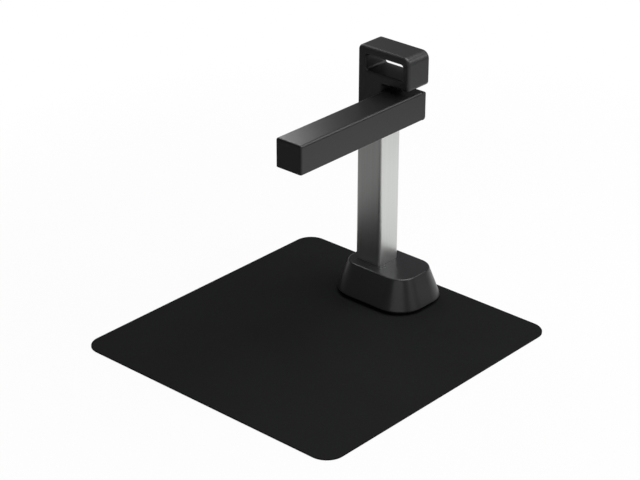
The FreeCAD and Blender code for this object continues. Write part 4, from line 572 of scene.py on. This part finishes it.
# Arm caps and lower cover
# End caps and the cover under the arm, moulded in ABS with a tool that was blasted to match the
# anodised channel.
# Satin ABS: the channel's black, a shade softer in its highlights.
cap_abs, tree = new_material("blasted_tool_abs")
place = add(tree, "ShaderNodeTexCoord")
blast = add(tree, "ShaderNodeTexNoise", {"Vector": place.outputs["Object"], "Scale": 1900.0, "Detail": 2.0})
relief = add(tree, "ShaderNodeBump", {"Height": blast.outputs["Fac"], "Strength": 0.22, "Distance": 0.0001})
skin = add(tree, "ShaderNodeBsdfPrincipled", {
    "Base Color": linear("141415"), "Roughness": 0.34, "IOR": 1.53, "Normal": relief.outputs[0]})
add(tree, "ShaderNodeOutputMaterial", {"Surface": skin.outputs[0]})
dress(cap_abs, "arm_front_cap", "arm_rear_cap", "arm_lower_cover")


# Camera
# A lens barrel turned in aluminium and blackened, in a nylon holder over the sensor, behind a
# flat window let into the lower cover.
# Blackened barrel: nearly no light comes back but for thin turned rings, 1 mm apart.
RING_PITCH = 0.001
lens_low, lens_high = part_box("lens_barrel")
lens_axis = ((lens_low.x + lens_high.x) / 2, (lens_low.y + lens_high.y) / 2, 0.0)
turned, tree = new_material("turned_blackened_aluminium")
place = add(tree, "ShaderNodeTexCoord")
offset = add(tree, "ShaderNodeVectorMath", {0: place.outputs["Object"], 1: lens_axis}, operation="SUBTRACT")
flat = add(tree, "ShaderNodeVectorMath", {0: offset.outputs[0], 1: (1.0, 1.0, 0.0)}, operation="MULTIPLY")
reach = add(tree, "ShaderNodeVectorMath", {0: flat.outputs[0]}, operation="LENGTH")
grooves = add(tree, "ShaderNodeMath", {0: reach.outputs["Value"], 1: RING_PITCH / 2}, operation="PINGPONG")
relief = add(tree, "ShaderNodeBump", {"Height": grooves.outputs[0], "Strength": 0.6, "Distance": 0.2})
skin = add(tree, "ShaderNodeBsdfPrincipled", {
    "Base Color": linear("121213"), "Roughness": 0.36, "IOR": 1.55, "Normal": relief.outputs[0]})
add(tree, "ShaderNodeOutputMaterial", {"Surface": skin.outputs[0]})
dress(turned, "lens_barrel")

# Coated glass: dark like the barrel behind it, with a violet to green cast at a slant.
coated_glass, tree = new_material("coated_optical_glass")
place = add(tree, "ShaderNodeTexCoord")
slant = add(tree, "ShaderNodeLayerWeight", {"Blend": 0.35})
coat = add(tree, "ShaderNodeMix", {
    "Factor": slant.outputs["Facing"], 6: linear("3a2a5c"), 7: linear("2f6b58")}, data_type="RGBA")
dust = add(tree, "ShaderNodeTexNoise", {"Vector": place.outputs["Object"], "Scale": 900.0, "Detail": 2.0})
clean = add(tree, "ShaderNodeMapRange", {"Value": dust.outputs["Fac"], "To Min": 0.02, "To Max": 0.06})
skin = add(tree, "ShaderNodeBsdfPrincipled", {
    "Base Color": coat.outputs[2], "Roughness": clean.outputs["Result"], "IOR": 1.62,
    "Transmission Weight": 0.35, "Coat Weight": 1.0, "Coat Roughness": 0.03})
add(tree, "ShaderNodeOutputMaterial", {"Surface": skin.outputs[0]})
dress(coated_glass, "lens_glass")

# Window glass: grey tinted float glass with a faint haze of wiping.
float_glass, tree = new_material("tinted_float_glass")
place = add(tree, "ShaderNodeTexCoord")
wipe = add(tree, "ShaderNodeTexNoise", {"Vector": place.outputs["Object"], "Scale": 220.0, "Detail": 3.0})
clean = add(tree, "ShaderNodeMapRange", {"Value": wipe.outputs["Fac"], "To Min": 0.01, "To Max": 0.05})
skin = add(tree, "ShaderNodeBsdfPrincipled", {
    "Base Color": linear("a8abb0"), "Roughness": clean.outputs["Result"], "IOR": 1.5,
    "Transmission Weight": 1.0})
add(tree, "ShaderNodeOutputMaterial", {"Surface": skin.outputs[0]})
dress(float_glass, "camera_window")


# Reading light
# A strip of twelve light chips on a white board, behind an opal acrylic diffuser that clips into
# the lower cover.
# White solder mask: a clean gloss white with the copper showing as faintly darker tracks.
dress(board_material("white_solder_mask", "e4e5e2", "d3d4cf", NO_CHIPS), "light_board")

# Phosphor gel: egg yellow, a little grainy.
phosphor, tree = new_material("phosphor_gel")
place = add(tree, "ShaderNodeTexCoord")
grit = add(tree, "ShaderNodeTexNoise", {"Vector": place.outputs["Object"], "Scale": 2600.0, "Detail": 3.0})
tint = add(tree, "ShaderNodeMix", {
    "Factor": grit.outputs["Fac"], 6: linear("e8c645"), 7: linear("f4e08a")}, data_type="RGBA")
skin = add(tree, "ShaderNodeBsdfPrincipled", {"Base Color": tint.outputs[2], "Roughness": 0.35, "IOR": 1.41})
add(tree, "ShaderNodeOutputMaterial", {"Surface": skin.outputs[0]})
dress(phosphor, "light_chips")

# Opal acrylic: milk white, blurs the chips behind it, with the shine of a moulded sheet.
opal, tree = new_material("opal_acrylic")
place = add(tree, "ShaderNodeTexCoord")
milk = add(tree, "ShaderNodeTexNoise", {"Vector": place.outputs["Object"], "Scale": 30.0, "Detail": 2.0})
tint = add(tree, "ShaderNodeMix", {
    "Factor": milk.outputs["Fac"], 6: linear("e3e3de"), 7: linear("ebebe7")}, data_type="RGBA")
sheet = add(tree, "ShaderNodeTexNoise", {"Vector": place.outputs["Object"], "Scale": 400.0, "Detail": 2.0})
relief = add(tree, "ShaderNodeBump", {"Height": sheet.outputs["Fac"], "Strength": 0.1, "Distance": 0.00005})
skin = add(tree, "ShaderNodeBsdfPrincipled", {
    "Base Color": tint.outputs[2], "Roughness": 0.3, "IOR": 1.49, "Transmission Weight": 0.25,
    "Normal": relief.outputs[0]})
add(tree, "ShaderNodeOutputMaterial", {"Surface": skin.outputs[0]})
dress(opal, "light_diffuser")


# Screws
# Pan-head screws and bolts in zinc-plated steel with a cross recess, one set for each joint. They
# sit where the construction has them, each turned as the driver left it.
# Zinc plate: a bluish grey metal with a fine spangle.
RECESS_SPAN = 0.62
RECESS_WIDTH = 0.15
RECESS_DEPTH = 0.62
CROWN = 0.38
CROWN_POWER = 3.0
CAP_LINE = 0.3
TURN_SEED = 7

zinc, tree = new_material("zinc_plated_steel")
place = add(tree, "ShaderNodeTexCoord")
spangle = add(tree, "ShaderNodeTexNoise", {"Vector": place.outputs["Object"], "Scale": 1200.0, "Detail": 3.0})
tint = add(tree, "ShaderNodeMix", {
    "Factor": spangle.outputs["Fac"], 6: linear("9ea2a8"), 7: linear("c3c6ca")}, data_type="RGBA")
shine = add(tree, "ShaderNodeMapRange", {"Value": spangle.outputs["Fac"], "To Min": 0.26, "To Max": 0.44})
skin = add(tree, "ShaderNodeBsdfPrincipled", {
    "Base Color": tint.outputs[2], "Metallic": 1.0, "Roughness": shine.outputs["Result"]})
add(tree, "ShaderNodeOutputMaterial", {"Surface": skin.outputs[0]})

screw_tree, given, result = new_tree("cross_recess_screw", {
    "Head Radius": "NodeSocketFloat", "Head Height": "NodeSocketFloat", "Shank Radius": "NodeSocketFloat",
    "Shank Length": "NodeSocketFloat", "Facing": "NodeSocketVector", "Seed": "NodeSocketInt",
    "Finish": "NodeSocketMaterial"})

head_r, head_h = given.outputs["Head Radius"], given.outputs["Head Height"]
shank_r, shank_l = given.outputs["Shank Radius"], given.outputs["Shank Length"]
disc = add(screw_tree, "GeometryNodeMeshCylinder", {
    "Vertices": 32, "Side Segments": 2, "Fill Segments": 5, "Radius": head_r, "Depth": head_h})
here = add(screw_tree, "GeometryNodeInputPosition")
axes = add(screw_tree, "ShaderNodeSeparateXYZ", {0: here.outputs[0]})
flat = add(screw_tree, "ShaderNodeVectorMath", {0: here.outputs[0], 1: (1.0, 1.0, 0.0)}, operation="MULTIPLY")
reach = add(screw_tree, "ShaderNodeVectorMath", {0: flat.outputs[0]}, operation="LENGTH")
share = add(screw_tree, "ShaderNodeMath", {0: reach.outputs["Value"], 1: head_r}, operation="DIVIDE")
curve = add(screw_tree, "ShaderNodeMath", {0: share.outputs[0], 1: CROWN_POWER}, operation="POWER")
crown = add(screw_tree, "ShaderNodeMath", {0: head_h, 1: -CROWN}, operation="MULTIPLY")
fall = add(screw_tree, "ShaderNodeMath", {0: curve.outputs[0], 1: crown.outputs[0]}, operation="MULTIPLY")
cap_line = add(screw_tree, "ShaderNodeMath", {0: head_h, 1: CAP_LINE}, operation="MULTIPLY")
on_top = add(screw_tree, "ShaderNodeMath", {0: axes.outputs["Z"], 1: cap_line.outputs[0]},
             operation="GREATER_THAN")
top_fall = add(screw_tree, "ShaderNodeMath", {0: fall.outputs[0], 1: on_top.outputs[0]}, operation="MULTIPLY")
drop = add(screw_tree, "ShaderNodeCombineXYZ", {"Z": top_fall.outputs[0]})
domed = add(screw_tree, "GeometryNodeSetPosition", {
    "Geometry": disc.outputs["Mesh"], "Offset": drop.outputs[0]})
long_side = add(screw_tree, "ShaderNodeMath", {0: head_r, 1: 2 * RECESS_SPAN}, operation="MULTIPLY")
short_side = add(screw_tree, "ShaderNodeMath", {0: head_r, 1: 2 * RECESS_WIDTH}, operation="MULTIPLY")
deep = add(screw_tree, "ShaderNodeMath", {0: head_h, 1: 2 * RECESS_DEPTH}, operation="MULTIPLY")
half_head = add(screw_tree, "ShaderNodeMath", {0: head_h, 1: 0.5}, operation="MULTIPLY")
half_up = add(screw_tree, "ShaderNodeCombineXYZ", {"Z": half_head.outputs[0]})
cut = add(screw_tree, "GeometryNodeMeshBoolean", {"Mesh 1": domed.outputs[0]},
          operation="DIFFERENCE", solver="EXACT")
for width, height in ((long_side, short_side), (short_side, long_side)):
    blade = add(screw_tree, "ShaderNodeCombineXYZ", {
        "X": width.outputs[0], "Y": height.outputs[0], "Z": deep.outputs[0]})
    box = add(screw_tree, "GeometryNodeMeshCube", {"Size": blade.outputs[0]})
    raised = add(screw_tree, "GeometryNodeTransform", {
        "Geometry": box.outputs["Mesh"], "Translation": half_up.outputs[0]})
    screw_tree.links.new(raised.outputs[0], cut.inputs["Mesh 2"])
half_down = add(screw_tree, "ShaderNodeMath", {0: head_h, 1: -0.5}, operation="MULTIPLY")
lower = add(screw_tree, "ShaderNodeCombineXYZ", {"Z": half_down.outputs[0]})
seated = add(screw_tree, "GeometryNodeTransform", {
    "Geometry": cut.outputs["Mesh"], "Translation": lower.outputs[0]})
rod = add(screw_tree, "GeometryNodeMeshCylinder", {"Vertices": 16, "Radius": shank_r, "Depth": shank_l})
half_shank = add(screw_tree, "ShaderNodeMath", {0: shank_l, 1: 0.5}, operation="MULTIPLY")
depth = add(screw_tree, "ShaderNodeMath", {0: head_h, 1: half_shank.outputs[0]}, operation="ADD")
below = add(screw_tree, "ShaderNodeMath", {0: depth.outputs[0], 1: -1.0}, operation="MULTIPLY")
under = add(screw_tree, "ShaderNodeCombineXYZ", {"Z": below.outputs[0]})
shank = add(screw_tree, "GeometryNodeTransform", {
    "Geometry": rod.outputs["Mesh"], "Translation": under.outputs[0]})
whole = add(screw_tree, "GeometryNodeJoinGeometry", {0: seated.outputs[0]})
screw_tree.links.new(shank.outputs[0], whole.inputs[0])
chance = add(screw_tree, "FunctionNodeRandomValue", {"Seed": given.outputs["Seed"]}, data_type="FLOAT")
angle = add(screw_tree, "ShaderNodeMath", {0: chance.outputs[1], 1: math.tau}, operation="MULTIPLY")
spin = add(screw_tree, "FunctionNodeAxisAngleToRotation", {
    "Axis": (0.0, 0.0, 1.0), "Angle": angle.outputs[0]})
aim = add(screw_tree, "FunctionNodeAlignRotationToVector", {"Vector": given.outputs["Facing"]}, axis="Z")
pose = add(screw_tree, "FunctionNodeRotateRotation", {0: aim.outputs[0], 1: spin.outputs[0]},
           rotation_space="LOCAL")
driven = add(screw_tree, "GeometryNodeInstanceOnPoints", {
    "Points": given.outputs["Geometry"], "Instance": whole.outputs[0], "Rotation": pose.outputs[0]})
loose = add(screw_tree, "GeometryNodeRealizeInstances", {0: driven.outputs[0]})
coated = add(screw_tree, "GeometryNodeSetMaterial", {
    "Geometry": loose.outputs[0], "Material": given.outputs["Finish"]})
screw_tree.links.new(coated.outputs[0], result.inputs[0])


SAME_POINT = 1e-6


def solids_of(node):
    """The lowest and highest corner of each loose solid in a CAD node, in metres."""
    work = bmesh.new()
    work.from_mesh(frame["nodes"][node].data)
    bmesh.ops.remove_doubles(work, verts=work.verts, dist=SAME_POINT)
    found = []
    for seed in work.verts:
        if seed.tag:
            continue
        seed.tag = True
        shell = [seed]
        for vertex in shell:
            for edge in vertex.link_edges:
                other = edge.other_vert(vertex)
                if not other.tag:
                    other.tag = True
                    shell.append(other)
        found.append((Vector([min(v.co[i] for v in shell) for i in range(3)]),
                      Vector([max(v.co[i] for v in shell) for i in range(3)])))
    work.free()
    return found


# Each set: the way its heads face, its head radius, head height and shank radius in millimetres,
# and the body that it rides on.
SCREW_SETS = {
    "base_screws": ((0, 0, -1), 2.8, 1.8, 1.5, "stand"),
    "ballast_screws": ((0, 0, 1), 2.8, 1.8, 1.5, "stand"),
    "board_screws": ((0, 0, 1), 2.1, 1.3, 1.1, "stand"),
    "foot_screws": ((0, 0, 1), 2.8, 1.8, 1.5, "stand"),
    "column_bolts": ((0, 0, -1), 3.4, 2.4, 1.95, "stand"),
    "head_screws": ((0, 1, 0), 2.1, 1.3, 1.1, "stand"),
    "bracket_screws": ((0, 0, 1), 3.4, 2.4, 1.95, "stand"),
    "hub_screws": ((-1, 0, 0), 2.1, 1.2, 1.1, "arm"),
    "arm_screws": ((0, 0, -1), 2.8, 1.1, 1.5, "arm"),
    "camera_screws": ((0, 0, 1), 2.1, 1.3, 1.1, "arm"),
    "light_screws": ((0, 0, 1), 2.1, 1.3, 1.1, "arm"),
}
for node, (facing, radius, height, shank, body) in SCREW_SETS.items():
    facing = Vector(facing)
    axis = max(range(3), key=lambda i: abs(facing[i]))
    seats = []
    for low, high in solids_of(node):
        seat = (low + high) / 2
        seat[axis] = high[axis] if facing[axis] > 0 else low[axis]
        seats.append(seat)
    length = high[axis] - low[axis]
    made = grow(node + "_cross_recess", screw_tree, seats, {
        "Head Radius": radius / 1000, "Head Height": height / 1000, "Shank Radius": shank / 1000,
        "Shank Length": length - height / 1000, "Facing": facing, "Seed": TURN_SEED, "Finish": zinc})
    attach(made, body)
    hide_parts(node)
